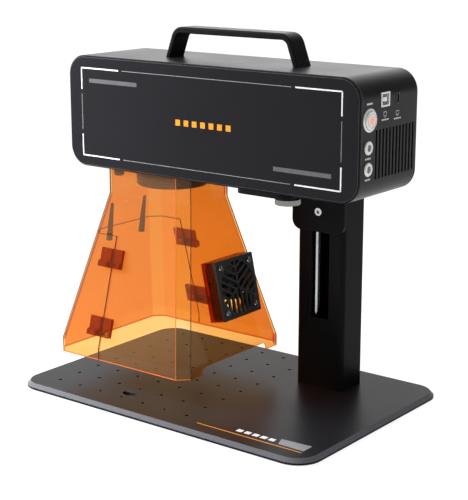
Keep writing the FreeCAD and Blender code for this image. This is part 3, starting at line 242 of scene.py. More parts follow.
def printedMarks(name, outlines, place, material, body, height=0.06):
    # Each outline is a convex shape in flat millimetres, raised by the thickness of the print.
    points = []
    faces = []
    for outline in outlines:
        first = len(points)
        count = len(outline)
        for level in (0.0, height):
            points += [place(u, v, level) for u, v in outline]
        faces.append(list(range(first + count - 1, first - 1, -1)))
        faces.append(list(range(first + count, first + 2 * count)))
        for k in range(count):
            after = (k + 1) % count
            faces.append([first + k, first + after, first + count + after, first + count + k])
    data = bpy.data.meshes.new(name)
    data.from_pydata([tuple(p) for p in points], [], faces)
    shape = bmesh.new()
    shape.from_mesh(data)
    bmesh.ops.recalc_face_normals(shape, faces=shape.faces)
    shape.to_mesh(data)
    shape.free()
    return finishPiece(bpy.data.objects.new(name, data), material, body)


def strokes(points, width):
    # A printed line of a set width, one flat bar for each straight stretch.
    bars = []
    for (x0, y0), (x1, y1) in zip(points, points[1:]):
        length = math.hypot(x1 - x0, y1 - y0)
        nx = -(y1 - y0) / length * width / 2
        ny = (x1 - x0) / length * width / 2
        bars.append([(x0 + nx, y0 + ny), (x1 + nx, y1 + ny), (x1 - nx, y1 - ny), (x0 - nx, y0 - ny)])
    return bars


def arcBand(centre, inner, outer, fromDeg, toDeg, steps):
    # A printed arc, as one short bar for each step of its turn.
    bars = []
    for k in range(steps):
        a = math.radians(fromDeg + (toDeg - fromDeg) * k / steps)
        b = math.radians(fromDeg + (toDeg - fromDeg) * (k + 1) / steps)
        corners = [(inner, a), (outer, a), (outer, b), (inner, b)]
        bars.append([(centre[0] + r * math.cos(t), centre[1] + r * math.sin(t)) for r, t in corners])
    return bars


# Camera, floor and studio light.
studio = {
    "cameraAt": (0.7123, -0.9102, 0.4179),
    "cameraAim": (-0.5945, 0.7672, -0.2407),
    "lensMm": 96.99, "sensorMm": 36.0, "farClip": 50.0, "sheetsLightCrosses": 40,
    "brightSide": (-0.7, 0.68, 0.22), "sideRange": (0.5, 0.97), "sideLevel": 1.9,
    "overhead": (-0.35, -0.2, 0.91), "overheadRange": (0.6, 0.97), "overheadLevel": 1.3,
    "dimLevel": 0.16,
    "floorGlow": 0.85,
    "floorSize": 60.0,
}
camera = bpy.data.objects.new("camera", bpy.data.cameras.new("camera"))
camera.location = studio["cameraAt"]
camera.rotation_euler = Vector(studio["cameraAim"]).to_track_quat("-Z", "Y").to_euler()
camera.data.lens = studio["lensMm"]
camera.data.sensor_width = studio["sensorMm"]
camera.data.clip_end = studio["farClip"]
bpy.context.scene.collection.objects.link(camera)
bpy.context.scene.camera = camera

# The room is bright behind the machine and dim in front of it, as between white paper and dark flags.
world = bpy.data.worlds.new("studioWorld")
world.use_nodes = True
worldTree = world.node_tree
worldTree.nodes.clear()
skyCoords = addNode(worldTree, "ShaderNodeTexCoord")
patches = []
for direction, reach, level in (("brightSide", "sideRange", "sideLevel"),
                                ("overhead", "overheadRange", "overheadLevel")):
    towards = addNode(worldTree, "ShaderNodeVectorMath", {"operation": "DOT_PRODUCT"},
                      {1: studio[direction]}, {0: skyCoords.outputs["Generated"]})
    patches.append(addNode(worldTree, "ShaderNodeMapRange", {"interpolation_type": "SMOOTHSTEP"},
                           {"From Min": studio[reach][0], "From Max": studio[reach][1],
                            "To Min": studio["dimLevel"], "To Max": studio[level]},
                           {"Value": towards.outputs["Value"]}))
skyLevel = addNode(worldTree, "ShaderNodeMath", {"operation": "MAXIMUM"},
                   links={0: patches[0].outputs["Result"], 1: patches[1].outputs["Result"]})
sky = addNode(worldTree, "ShaderNodeBackground", links={"Strength": skyLevel.outputs["Value"]})
sky.inputs["Color"].default_value = (1.0, 1.0, 1.0, 1.0)
addNode(worldTree, "ShaderNodeOutputWorld", links={"Surface": sky.outputs["Background"]})
bpy.context.scene.world = world
bpy.context.scene.view_settings.view_transform = "Standard"
bpy.context.scene.cycles.transparent_max_bounces = studio["sheetsLightCrosses"]

softBoxes = {
    "keyBox": {"at": (-0.52, -0.34, 0.38), "aim": (-0.15, -0.04, 0.22), "size": 0.3, "watts": 14.0},
    "endBox": {"at": (0.85, -0.4, 0.55), "aim": (0.16, 0.0, 0.25), "size": 0.3, "watts": 2.4},
    "topBox": {"at": (0.0, 0.3, 1.5), "aim": (0.0, 0.0, 0.25), "size": 1.0, "watts": 5.0},
}
for name, box in softBoxes.items():
    lamp = bpy.data.lights.new(name, "AREA")
    lamp.shape = "SQUARE"
    lamp.size = box["size"]
    lamp.energy = box["watts"]
    holder = bpy.data.objects.new(name, lamp)
    holder.location = box["at"]
    aim = Vector(box["aim"]) - Vector(box["at"])
    holder.rotation_euler = aim.to_track_quat("-Z", "Y").to_euler()
    holder.visible_glossy = False  # the boxes light the machine but leave no bright squares in its gloss
    bpy.context.scene.collection.objects.link(holder)

# Matt paper sweep: almost white, so the dark machine stands clear of it.
paperLook = {
    "name": "mattPaperFloor", "colour": "#828282", "otherColour": "#808080", "speckColour": "#7c7c7c",
    "patchMm": 400.0, "grainMm": 6.0, "speck": 0.1, "roughness": 0.9, "bumpMm": 0.05, "specular": 0.1,
    "glow": studio["floorGlow"], "glowColour": "#ffffff",
}
floorPaper = surfaceFinish(paperLook)
half = studio["floorSize"] / 2
floorMesh = bpy.data.meshes.new("floor")
floorCorners = [(-half, -half, 0), (half, -half, 0), (half, half, 0), (-half, half, 0)]
floorMesh.from_pydata(floorCorners, [], [(0, 1, 2, 3)])
floor = bpy.data.objects.new("floor", floorMesh)
floor.data.materials.append(floorPaper)
bpy.context.scene.collection.objects.link(floor)
print("studio: camera, world, floor and", len(softBoxes), "soft boxes")


# Head casing.
# Powder-coated aluminium: fine orange-peel grain that breaks up the sky's reflection. Its edges are lightly
# worn and carry a painted grey highlight.
casing = {
    "name": "powderCoatedAluminium", "colour": "#111113", "otherColour": "#151517", "speckColour": "#1f1f22",
    "patchMm": 90.0, "grainMm": 0.9, "speck": 0.35, "roughness": 0.36, "roughSpread": 0.04,
    "bumpMm": 0.05, "bumpStrength": 0.35, "edgeMm": 0.7, "edgeWearAndHighlight": 0.5, "edgeWearAndHighlightColour": "#5a5a5e",
    "specular": 0.15,
}
dress(surfaceFinish(casing), "head_shell", "rear_panel")

# Printed satin panel: smoother than the shell, with a faint vertical pull of the coating. A pale painted
# highlight runs along its worn edges.
frontFace = {
    "name": "satinPrintedPanel", "colour": "#131315", "otherColour": "#161619", "speckColour": "#1e1e21",
    "patchMm": 120.0, "grainMm": 1.6, "stretch": (3.0, 1.0, 0.35), "speck": 0.3, "roughness": 0.38,
    "roughSpread": 0.04, "bumpMm": 0.02, "bumpStrength": 0.3, "edgeMm": 0.6, "edgeWearAndHighlight": 0.9,
    "edgeWearAndHighlightColour": "#a9a9ad", "specular": 0.08,
}
dress(surfaceFinish(frontFace), "front_panel")

# Soft-touch coated bar: very dark, with a wide dull highlight. Its edges are worn and carry a painted grey
# highlight.
handleLook = {
    "name": "softTouchCoatedBar", "colour": "#0d0d0e", "otherColour": "#101011", "speckColour": "#1b1b1d",
    "patchMm": 40.0, "grainMm": 0.8, "speck": 0.3, "roughness": 0.36, "bumpMm": 0.04, "bumpStrength": 0.3,
    "edgeMm": 0.6, "edgeWearAndHighlight": 0.5, "edgeWearAndHighlightColour": "#5c5c60", "specular": 0.1,
}
dress(surfaceFinish(handleLook), "carry_handle")

# Screen-printed ink, a hair proud of the panel and a touch uneven where the screen lifted.
inkLooks = {
    "white": {"name": "whiteScreenInk", "colour": "#c6c6c8",
              "otherColour": "#b4b4b6", "speckColour": "#d8d8da",
              "patchMm": 9.0, "grainMm": 0.5, "roughness": 0.5, "bumpMm": 0.01, "edgeMm": 0.02},
    "pale": {"name": "paleGreyScreenInk", "colour": "#747478",
             "otherColour": "#68686c", "speckColour": "#8a8a8e",
             "patchMm": 9.0, "grainMm": 0.5, "roughness": 0.5, "bumpMm": 0.01, "edgeMm": 0.02},
    "grey": {"name": "greyScreenInk", "colour": "#47474b",
             "otherColour": "#414145", "speckColour": "#545458",
             "patchMm": 12.0, "grainMm": 0.6, "roughness": 0.45, "bumpMm": 0.01, "edgeMm": 0.02},
    "orange": {"name": "amberScreenInk", "colour": "#c67a0c",
               "otherColour": "#b86e08", "speckColour": "#d8902c",
               "patchMm": 9.0, "grainMm": 0.5, "roughness": 0.5, "bumpMm": 0.01, "edgeMm": 0.02},
}
inks = {name: surfaceFinish(look) for name, look in inkLooks.items()}

panelLow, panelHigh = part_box("front_panel")


def onFront(u, v, rise):
    # u runs right from the panel's left edge, v runs down from its top edge
    return (panelLow.x + u * mm, panelLow.y - rise * mm, panelHigh.z - v * mm)


# The panel's print is a plain border of our own: four equal corner marks, thin joining lines and two bars.
frontPrint = {
    "left": 16.0, "right": 292.0, "top": 11.0, "bottom": 89.0, "cornerLong": 44.0, "cornerShort": 19.0,
    "cornerLine": 1.2, "joinGap": 4.0, "joinLine": 0.5,
    "barInset": 9.0, "barLength": 56.0, "barHeight": 3.6,
    "squareSide": 5.0, "squarePitch": 9.0, "squares": 7,
}
middleU = (frontPrint["left"] + frontPrint["right"]) / 2
middleV = (frontPrint["top"] + frontPrint["bottom"]) / 2


def rectangle(left, top, width, height):
    return [(left, top), (left + width, top), (left + width, top + height), (left, top + height)]


cornerBars = []
joinBars = []
for edgeV in (frontPrint["top"], frontPrint["bottom"]):
    inwardV = math.copysign(frontPrint["cornerShort"], middleV - edgeV)
    for edgeU in (frontPrint["left"], frontPrint["right"]):
        inwardU = math.copysign(frontPrint["cornerLong"], middleU - edgeU)
        cornerBars += strokes([(edgeU, edgeV + inwardV), (edgeU, edgeV), (edgeU + inwardU, edgeV)],
                              frontPrint["cornerLine"])
    joinFrom = frontPrint["left"] + frontPrint["cornerLong"] + frontPrint["joinGap"]
    joinTo = frontPrint["right"] - frontPrint["cornerLong"] - frontPrint["joinGap"]
    joinBars += strokes([(joinFrom, edgeV), (joinTo, edgeV)], frontPrint["joinLine"])
for edgeU in (frontPrint["left"], frontPrint["right"]):
    joinFrom = frontPrint["top"] + frontPrint["cornerShort"] + frontPrint["joinGap"]
    joinTo = frontPrint["bottom"] - frontPrint["cornerShort"] - frontPrint["joinGap"]
    joinBars += strokes([(edgeU, joinFrom), (edgeU, joinTo)], frontPrint["joinLine"])
greyBars = [
    rectangle(frontPrint["left"] + frontPrint["barInset"], frontPrint["top"] + frontPrint["barInset"],
              frontPrint["barLength"], frontPrint["barHeight"]),
    rectangle(frontPrint["right"] - frontPrint["barInset"] - frontPrint["barLength"],
              frontPrint["bottom"] - frontPrint["barInset"] - frontPrint["barHeight"],
              frontPrint["barLength"], frontPrint["barHeight"]),
]
rowWidth = (frontPrint["squares"] - 1) * frontPrint["squarePitch"] + frontPrint["squareSide"]
squareTop = middleV - frontPrint["squareSide"] / 2
squareBars = [rectangle(middleU - rowWidth / 2 + k * frontPrint["squarePitch"], squareTop,
                        frontPrint["squareSide"], frontPrint["squareSide"])
              for k in range(frontPrint["squares"])]
for inkName, bars in (("white", cornerBars), ("pale", joinBars), ("orange", squareBars), ("grey", greyBars)):
    printedMarks("frontPrint_" + inkName, bars, onFront, inks[inkName], "head")
print("head: casing, panel and printed pattern")


# Right end: switch, sockets and small marks.
# Turned and brushed stainless steel: pale, with rings too fine to see drawn as soft streaks.
steelLook = {
    "name": "turnedStainlessSteel", "colour": "#d9d8d6", "otherColour": "#c9c8c6", "speckColour": "#f0efee",
    "patchMm": 8.0, "grainMm": 0.3, "speck": 0.3, "metallic": 0.5, "roughness": 0.34,
    "bumpMm": 0.01, "edgeMm": 0.15,
}
brightSteel = surfaceFinish(steelLook)
# Injection-moulded ABS: even satin black with one soft highlight.
socketLook = {
    "name": "mouldedBlackAbs", "colour": "#101011", "otherColour": "#151516", "speckColour": "#1e1e20",
    "patchMm": 12.0, "grainMm": 0.4, "speck": 0.3, "roughness": 0.4, "bumpMm": 0.02, "edgeMm": 0.2,
}
socketAbs = surfaceFinish(socketLook)
dress(brightSteel, "power_button_bezel", "power_button", "dc_jacks", "usb_b_socket")
dress(socketAbs, "usb_c_socket")
# Milky moulded diffuser, lit from behind: an even glow with no hard highlight.
lightLook = {
    "name": "litAmberDiffuser", "colour": "#ff7a3c", "otherColour": "#ff6a28", "speckColour": "#ffa070",
    "patchMm": 2.0, "grainMm": 0.3, "roughness": 0.4, "bumpMm": 0.005, "edgeMm": 0.05,
    "glow": 0.6, "glowColour": "#ff6a28",
}
dress(surfaceFinish(lightLook), "power_light")

shellLow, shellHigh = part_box("head_shell")
buttonLow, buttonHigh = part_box("power_button")
jackLow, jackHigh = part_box("dc_jacks")
usbBLow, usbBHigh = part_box("usb_b_socket")
usbCLow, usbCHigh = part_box("usb_c_socket")


def onEnd(u, v, rise):
    # u runs back from the front panel, v runs up from the head's underside
    return (shellHigh.x + rise * mm, panelLow.y + u * mm, shellLow.z + v * mm)


def endMark(low, high):
    return ((low.y + high.y) / 2 - panelLow.y) / mm, ((low.z + high.z) / 2 - shellLow.z) / mm


endPrint = {
    "portBelow": 9.8, "portHalf": 2.0, "portTall": 3.0, "stemLong": 1.1, "stemHalf": 1.2, "thinLine": 0.35,
    "footLine": 0.3,
    "portRow": {"first": -4.8, "long": 1.6, "pitch": 2.1, "count": 5, "line": 1.1, "below": 6.1},
    "buttonRow": {"first": -4.0, "long": 1.7, "pitch": 2.1, "count": 4, "line": 1.4, "above": 12.7},
    "jackRow": {"first": -3.8, "long": 1.5, "pitch": 2.0, "count": 4, "line": 1.3},
    "upperJackBelow": 14.0, "lowerJackBelow": 2.6,
}


def dashRow(row, u, v):
    # A row of short dashes in place of a printed word.
    starts = [u + row["first"] + row["pitch"] * k for k in range(row["count"])]
    return [bar for start in starts for bar in strokes([(start, v), (start + row["long"], v)], row["line"])]


endMarks = []
for low, high in ((usbBLow, usbBHigh), (usbCLow, usbCHigh)):
    u, v = endMark(low, high)
    base = v - endPrint["portBelow"]
    half, foot = endPrint["portHalf"], base - endPrint["portTall"]
    stem = foot - endPrint["stemLong"]
    endMarks += strokes([(u - half, base), (u + half, base), (u + half, foot), (u - half, foot),
                         (u - half, base)], endPrint["thinLine"])
    endMarks += strokes([(u, foot), (u, stem)], endPrint["thinLine"])
    endMarks += strokes([(u - endPrint["stemHalf"], stem), (u + endPrint["stemHalf"], stem)],
                        endPrint["footLine"])
    endMarks += dashRow(endPrint["portRow"], u, base - endPrint["portRow"]["below"])
u, v = endMark(buttonLow, buttonHigh)
endMarks += dashRow(endPrint["buttonRow"], u, v + endPrint["buttonRow"]["above"])
u, v = endMark(jackLow, jackHigh)
for rowV in ((jackHigh.z - shellLow.z) / mm - endPrint["upperJackBelow"],
             (jackLow.z - shellLow.z) / mm - endPrint["lowerJackBelow"]):
    endMarks += dashRow(endPrint["jackRow"], u, rowV)
printedMarks("endPrint_white", endMarks, onEnd, inks["white"], "head")

# Switch symbol: a broken ring with a short upright stroke.
switchMark = {"inner": 1.15, "outer": 1.6, "fromDeg": 125, "toDeg": 415, "steps": 24,
              "strokeFrom": 0.4, "strokeTo": 1.9, "line": 0.45, "rise": 0.03}


def onButton(u, v, rise):
    centre = (buttonLow + buttonHigh) / 2
    return (buttonHigh.x + rise * mm, centre.y + u * mm, centre.z + v * mm)


symbol = arcBand((0.0, 0.0), switchMark["inner"], switchMark["outer"], switchMark["fromDeg"],
                 switchMark["toDeg"], switchMark["steps"])
symbol += strokes([(0.0, switchMark["strokeFrom"]), (0.0, switchMark["strokeTo"])], switchMark["line"])
printedMarks("switchSymbol", symbol, onButton, inks["orange"], "power_button",
             switchMark["rise"])
print("right end: switch, sockets and marks")


# Column, lift and base.
# Black anodised extrusion: deep black with a soft sheen along its length. Die lines drawn coarse. Its edges
# are worn and carry a painted grey highlight.
columnLook = {
    "name": "blackAnodisedExtrusion", "colour": "#0d0d0e", "otherColour": "#101011", "speckColour": "#1a1a1b",
    "patchMm": 70.0, "grainMm": 1.2, "stretch": (4.0, 4.0, 0.25), "speck": 0.3, "roughness": 0.34,
    "bumpMm": 0.015, "bumpStrength": 0.3, "edgeMm": 0.6, "edgeWearAndHighlight": 0.4, "edgeWearAndHighlightColour": "#4a4a4c",
    "specular": 0.035,
}
dress(surfaceFinish(columnLook), "column_tube", "head_bracket")
# Textured ABS: dark and slightly grainy, as from a spark-eroded mould. Its edges are worn and carry a painted
# grey highlight.
plasticLook = {
    "name": "texturedBlackAbs", "colour": "#131314", "otherColour": "#18181a", "speckColour": "#232325",
    "patchMm": 20.0, "grainMm": 0.7, "speck": 0.35, "roughness": 0.48, "bumpMm": 0.05, "bumpStrength": 0.4,
    "edgeMm": 0.4, "edgeWearAndHighlight": 0.3, "edgeWearAndHighlightColour": "#444446",
}
blackAbs = surfaceFinish(plasticLook)
dress(blackAbs, "column_top_cap", "hand_wheel", "shield_knobs")

# Ground steel: rods and screws, bright with fine grinding marks, drawn coarse so that they show.
rodLook = {
    "name": "groundSteel", "colour": "#b9b9ba", "otherColour": "#a6a6a8", "speckColour": "#d4d4d5",
    "patchMm": 20.0, "grainMm": 0.6, "stretch": (1.0, 1.0, 6.0), "speck": 0.3, "metallic": 1.0,
    "roughness": 0.25, "bumpMm": 0.01, "edgeMm": 0.2,
}
groundSteel = surfaceFinish(rodLook)
dress(groundSteel, "guide_rods", "lead_screw", "screw_bearings", "first_mirror_shaft", "second_mirror_shaft",
      "board_spacers", "exhaust_screws", "fixed_catch_magnets", "door_catch_magnets")

# Satin nickel over knurled steel: bright crests with darker cuts between them. The pale edges are partly
# wear, partly a painted highlight.
knurlLook = {
    "name": "satinNickelKnurl", "colour": "#7c7a77", "otherColour": "#8e8c89", "speckColour": "#b4b2ae",
    "patchMm": 4.0, "grainMm": 0.4, "speck": 0.4, "metallic": 1.0, "roughness": 0.38, "bumpMm": 0.03,
    "edgeMm": 0.2, "edgeWearAndHighlight": 0.6, "edgeWearAndHighlightColour": "#dedddb",
}
dress(surfaceFinish(knurlLook), "thumb_screw")

# Black oxide on turned steel: dark metal whose edges are rubbed and carry a painted highlight.
oxideLook = {
    "name": "blackOxideSteel", "colour": "#1a1a1b", "otherColour": "#222224", "speckColour": "#343436",
    "patchMm": 5.0, "grainMm": 0.4, "metallic": 1.0, "roughness": 0.42, "bumpMm": 0.02, "edgeMm": 0.2,
    "edgeWearAndHighlight": 0.5, "edgeWearAndHighlightColour": "#777779",
}
blackScrews = surfaceFinish(oxideLook)
dress(blackScrews, "column_bolts", "panel_tie_bolts", "handle_screws")
dress(groundSteel, "bracket_screws")

# Sand-blasted anodised plate: charcoal, slightly warm, with a painted grey highlight on its chamfer and a
# paler edge that is partly wear, partly painted highlight. Blast grain drawn coarse.
baseLook = {
    "name": "blastedAnodisedPlate", "colour": "#131214", "otherColour": "#171618", "speckColour": "#252427",
    "patchMm": 110.0, "grainMm": 0.7, "speck": 0.4, "roughness": 0.33, "roughSpread": 0.03, "bumpMm": 0.04,
    "bumpStrength": 0.35, "edgeMm": 0.5, "edgeWearAndHighlight": 0.7, "edgeWearAndHighlightColour": "#7f7f84", "specular": 0.045,
    "chamferHighlightColour": "#5e5e63",
}
dress(surfaceFinish(baseLook), "base_plate")
# Moulded rubber: dull and grainy, with no clear highlight.
rubberLook = {
    "name": "mouldedRubber", "colour": "#0d0d0d", "otherColour": "#121212", "speckColour": "#1c1c1c",
    "patchMm": 10.0, "grainMm": 0.6, "roughness": 0.8, "bumpMm": 0.05, "edgeMm": 0.3,
}
dress(surfaceFinish(rubberLook), "base_feet")

plateLow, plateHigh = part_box("base_plate")


def onPlate(u, v, rise):
    # u runs right and v back from the plate's front left corner
    return (plateLow.x + u * mm, plateLow.y + v * mm, plateHigh.z + rise * mm)


plateMarks = {"lineFrom": 198.8, "lineTo": 305.1, "lineAt": 17.2, "lineWidth": 1.1,
              "block": [(279.4, 21.1), (304.6, 20.6), (304.6, 33.1), (275.8, 31.2)],
              "barsFrom": 235.0, "barsTo": 276.0, "barsLow": 22.6, "barsHigh": 27.6, "bars": 5, "inked": 0.7}
plateLine = [(plateMarks["lineFrom"], plateMarks["lineAt"]), (plateMarks["lineTo"], plateMarks["lineAt"])]
printedMarks("platePrint_orange", strokes(plateLine, plateMarks["lineWidth"]), onPlate, inks["orange"],
             "base")
printedMarks("platePrint_grey", [plateMarks["block"]], onPlate, inks["pale"], "base")
step = (plateMarks["barsTo"] - plateMarks["barsFrom"]) / plateMarks["bars"]
plateBars = [rectangle(plateMarks["barsFrom"] + k * step, plateMarks["barsLow"], step * plateMarks["inked"],
                       plateMarks["barsHigh"] - plateMarks["barsLow"]) for k in range(plateMarks["bars"])]
printedMarks("platePrint_white", plateBars, onPlate, inks["white"], "base")
print("column, lift and base dressed")


# Shield.
# Cast acrylic, cut and glued: clear amber with a soft sheen, deeper where two sheets stand behind each other.
shieldLook = {
    "name": "castAmberAcrylic", "tint": "#f7dfb6", "otherTint": "#f7deb3", "hazeMm": 35.0, "rippleMm": 0.1,
    "roughness": 0.03, "body": "#ffd0a8", "bodyShare": 0.036, "longest": 6.0, "grazing": 0.12,
    "facing": 0.014,
}
amber = acrylicFinish(shieldLook)
dress(amber, "shield_flange")

bodyLow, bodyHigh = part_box("shield_body")
doorLow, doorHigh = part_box("shield_door")
fanLow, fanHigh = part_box("exhaust_fan_box")
shieldForm = {
    "collarHalf": (47.9, 35.1), "cornerCut": 9.3, "collarHeight": 25.2, "skirtHeight": 10.4, "wall": 2.0,
    "doorGap": 0.8, "notchHalf": 46.8, "notchHeight": 7.0, "notchCorner": 6.0,
    "fanHole": 22.0, "fanDepth": 14.0,
}
skirtCentre = Vector(((doorLow.x + bodyHigh.x) / 2, (bodyLow.y + bodyHigh.y) / 2, 0))
skirtHalf = ((bodyHigh.x - doorLow.x) / 2, (bodyHigh.y - bodyLow.y) / 2)
collarHalf = tuple(value * mm for value in shieldForm["collarHalf"])
mouthLevel = min(bodyLow.z, doorLow.z)
slopeFoot = mouthLevel + shieldForm["skirtHeight"] * mm
slopeTop = bodyHigh.z - shieldForm["collarHeight"] * mm
slopeLean = math.atan2(skirtHalf[0] - collarHalf[0], slopeTop - slopeFoot)
fanLevel = (fanLow.z + fanHigh.z) / 2 - shieldForm["fanDepth"] * mm / 2 * math.sin(slopeLean)


def shieldHalf(level):
    share = min(max((level - slopeFoot) / (slopeTop - slopeFoot), 0.0), 1.0)
    return [skirt + (collar - skirt) * share for skirt, collar in zip(skirtHalf, collarHalf)]


def shieldRing(level):
    # Eight corners, anticlockwise seen from above. 0 and 1 bound the right wall, 4 and 5 the left wall.
    hx, hy = shieldHalf(level)
    cut = shieldForm["cornerCut"] * mm
    corners = [(hx, cut - hy), (hx, hy - cut), (hx - cut, hy), (cut - hx, hy),
               (-hx, hy - cut), (-hx, cut - hy), (cut - hx, -hy), (hx - cut, -hy)]
    return [skirtCentre + Vector((x, y, level)) for x, y in corners]


def onRightWall(y, level):
    return Vector((skirtCentre.x + shieldHalf(level)[0], skirtCentre.y + y, level))


def fanArc(fromDeg, toDeg, steps=24):
    radius = shieldForm["fanHole"] * mm
    turns = [math.radians(fromDeg + (toDeg - fromDeg) * k / steps) for k in range(steps + 1)]
    rise = radius * math.cos(slopeLean)
    return [onRightWall(radius * math.cos(t), fanLevel + rise * math.sin(t)) for t in turns]


def notchEdge():
    half, top = shieldForm["notchHalf"] * mm, mouthLevel + shieldForm["notchHeight"] * mm
    bend = shieldForm["notchCorner"] * mm
    points = [onRightWall(-half, mouthLevel)]
    for centre, start in ((bend - half, 180), (half - bend, 90)):
        for k in range(7):
            t = math.radians(start - 15 * k)
            points.append(onRightWall(centre + bend * math.cos(t), top - bend + bend * math.sin(t)))
    return points + [onRightWall(half, mouthLevel)]


def shieldShell(name, isDoor, body):
    levels = [mouthLevel, slopeFoot, fanLevel, slopeTop, bodyHigh.z]
    rings = [shieldRing(level) for level in levels]
    shape = bmesh.new()
    for band, (lower, upper) in enumerate(zip(rings, rings[1:])):
        for side in range(8):
            after = (side + 1) % 8
            outline = [lower[side], lower[after], upper[after], upper[side]]
            if side == 0 and band == 0:
                outline = [lower[0]] + notchEdge() + [lower[1], upper[1], upper[0]]
            if side == 0 and band == 1:
                outline = [lower[0], lower[1], upper[1]] + fanArc(0, -180) + [upper[0]]
            if side == 0 and band == 2:
                outline = [lower[0]] + fanArc(180, 0) + [lower[1], upper[1], upper[0]]
            shape.faces.new([shape.verts.new(point) for point in outline])
    bmesh.ops.remove_doubles(shape, verts=shape.verts, dist=0.00001)
    gap = 0 if isDoor else shieldForm["doorGap"] * mm
    seamX, seamZ = doorHigh.x + gap, doorHigh.z + gap
    for point, normal in (((seamX, 0, 0), (1, 0, 0)), ((0, 0, seamZ), (0, 0, 1))):
        everything = shape.verts[:] + shape.edges[:] + shape.faces[:]
        bmesh.ops.bisect_plane(shape, geom=everything, dist=0.000001, plane_co=point, plane_no=normal)
    inDoor = [face for face in shape.faces
              if face.calc_center_median().x < seamX and face.calc_center_median().z < seamZ]
    spare = [face for face in shape.faces if (face in inDoor) != isDoor]
    bmesh.ops.delete(shape, geom=spare, context="FACES")
    bmesh.ops.recalc_face_normals(shape, faces=shape.faces)
    centre = sum((face.calc_center_median() for face in shape.faces), Vector()) / len(shape.faces)
    sample = max(shape.faces, key=lambda face: face.calc_area())
    outward = sample.calc_center_median() - Vector((skirtCentre.x, skirtCentre.y, centre.z))
    if outward.dot(sample.normal) < 0:
        bmesh.ops.reverse_faces(shape, faces=shape.faces)
    data = bpy.data.meshes.new(name)
    shape.to_mesh(data)
    shape.free()
    piece = finishPiece(bpy.data.objects.new(name, data), amber, body)
    sheet = piece.modifiers.new("sheetThickness", "SOLIDIFY")
    sheet.thickness = shieldForm["wall"] * mm
    sheet.offset = -1.0
    sheet.use_even_offset = True
    return piece


shieldWalls = shieldShell("shieldWalls", False, "head")
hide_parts("shield_body")
doorWalls = shieldShell("doorWalls", True, "shield_door")
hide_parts("shield_door")


def seamStrips(name, chains, body, look):
    # Square beads laid just inside the sheet, where light runs along the glue instead of through it.
    shape = bmesh.new()
    half = look["beadMm"] * mm / 2
    for chain in chains:
        for start, end in zip(chain, chain[1:]):
            along = (end - start).normalized()
            inward = (Vector((skirtCentre.x, skirtCentre.y, start.z)) - start).normalized()
            across = along.cross(inward).normalized()
            inward = across.cross(along).normalized()
            shift = inward * look["inset"] * mm
            corners = [(across + inward) * half, (inward - across) * half,
                       -(across + inward) * half, (across - inward) * half]
            low = [shape.verts.new(start + shift + corner) for corner in corners]
            high = [shape.verts.new(end + shift + corner) for corner in corners]
            for k in range(4):
                after = (k + 1) % 4
                shape.faces.new([low[k], low[after], high[after], high[k]])
            shape.faces.new(low[::-1])
            shape.faces.new(high)
    bmesh.ops.recalc_face_normals(shape, faces=shape.faces)
    data = bpy.data.meshes.new(name)
    shape.to_mesh(data)
    shape.free()
    return finishPiece(bpy.data.objects.new(name, data), look["material"], body)


# Glue lines: burnt amber where the sheets meet, glowing amber where the cut rim pipes light out.
glueLook = {
    "name": "burntAmberGlue", "colour": "#2c1408", "otherColour": "#38190b", "speckColour": "#5a2c14",
    "patchMm": 12.0, "grainMm": 1.0, "roughness": 0.3, "bumpMm": 0.02, "edgeMm": 0.1,
}
glueLine = surfaceFinish(glueLook)
rimLook = {
    "name": "sawnAmberRim", "colour": "#d8843c", "otherColour": "#cc7630", "speckColour": "#f0a860",
    "patchMm": 14.0, "grainMm": 1.2, "roughness": 0.35, "bumpMm": 0.02, "edgeMm": 0.1,
    "glow": 0.2, "glowColour": "#ffa050",
}
rimGlow = surfaceFinish(rimLook)
glue = {"beadMm": 0.6, "inset": 0.55, "material": glueLine}
rim = {"beadMm": 0.5, "inset": 0.55, "material": rimGlow}
seamGap = shieldForm["doorGap"] * mm


def cornerChain(corner, low, high):
    levels = [low] + [level for level in (slopeFoot, slopeTop) if low < level < high] + [high]
    return [shieldRing(level)[corner] for level in levels]


def seamChain(back, low, high, x):
    levels = [low] + [level for level in (slopeFoot, slopeTop) if low < level < high] + [high]
    side = 1 if back else -1
    return [Vector((x, skirtCentre.y + side * shieldHalf(level)[1], level)) for level in levels]


def ringPart(level, corners, ends):
    ring = shieldRing(level)
    chain = [ring[corner] for corner in corners]
    hy = shieldHalf(level)[1]
    back, front = (Vector((ends, skirtCentre.y + side * hy, level)) for side in (1, -1))
    return [back] + chain + [front]


beadPlaces = {"belowTop": 0.5, "aboveMouth": 0.6, "insideSeam": 0.4}
topLevel = bodyHigh.z - beadPlaces["belowTop"] * mm
lipLevel = mouthLevel + beadPlaces["aboveMouth"] * mm
seamInset = beadPlaces["insideSeam"] * mm
bodyGlue = [cornerChain(corner, lipLevel, topLevel) for corner in (0, 1)]
bodyGlue += [cornerChain(corner, doorHigh.z + seamGap, topLevel) for corner in (5, 6)]
seamStrips("shieldGlueLines", bodyGlue, "head", glue)
doorGlue = [cornerChain(corner, lipLevel, doorHigh.z) for corner in (5, 6)]
doorGlue += [seamChain(back, lipLevel, doorHigh.z, doorHigh.x - seamInset) for back in (False, True)]
doorGlue += [ringPart(doorHigh.z - seamInset, (3, 4, 5, 6), doorHigh.x)]
seamStrips("doorGlueLines", doorGlue, "shield_door", glue)
ring = shieldRing(lipLevel)
frontRim = [Vector((doorHigh.x + seamGap, ring[6].y, lipLevel)), ring[7], ring[0]]
backRim = [ring[1], ring[2], Vector((doorHigh.x + seamGap, ring[3].y, lipLevel))]
seamStrips("shieldRim", [frontRim, backRim, cornerChain(7, lipLevel, topLevel)], "head", rim)
seamStrips("doorRim", [ringPart(lipLevel, (3, 4, 5, 6), doorHigh.x)], "shield_door", rim)
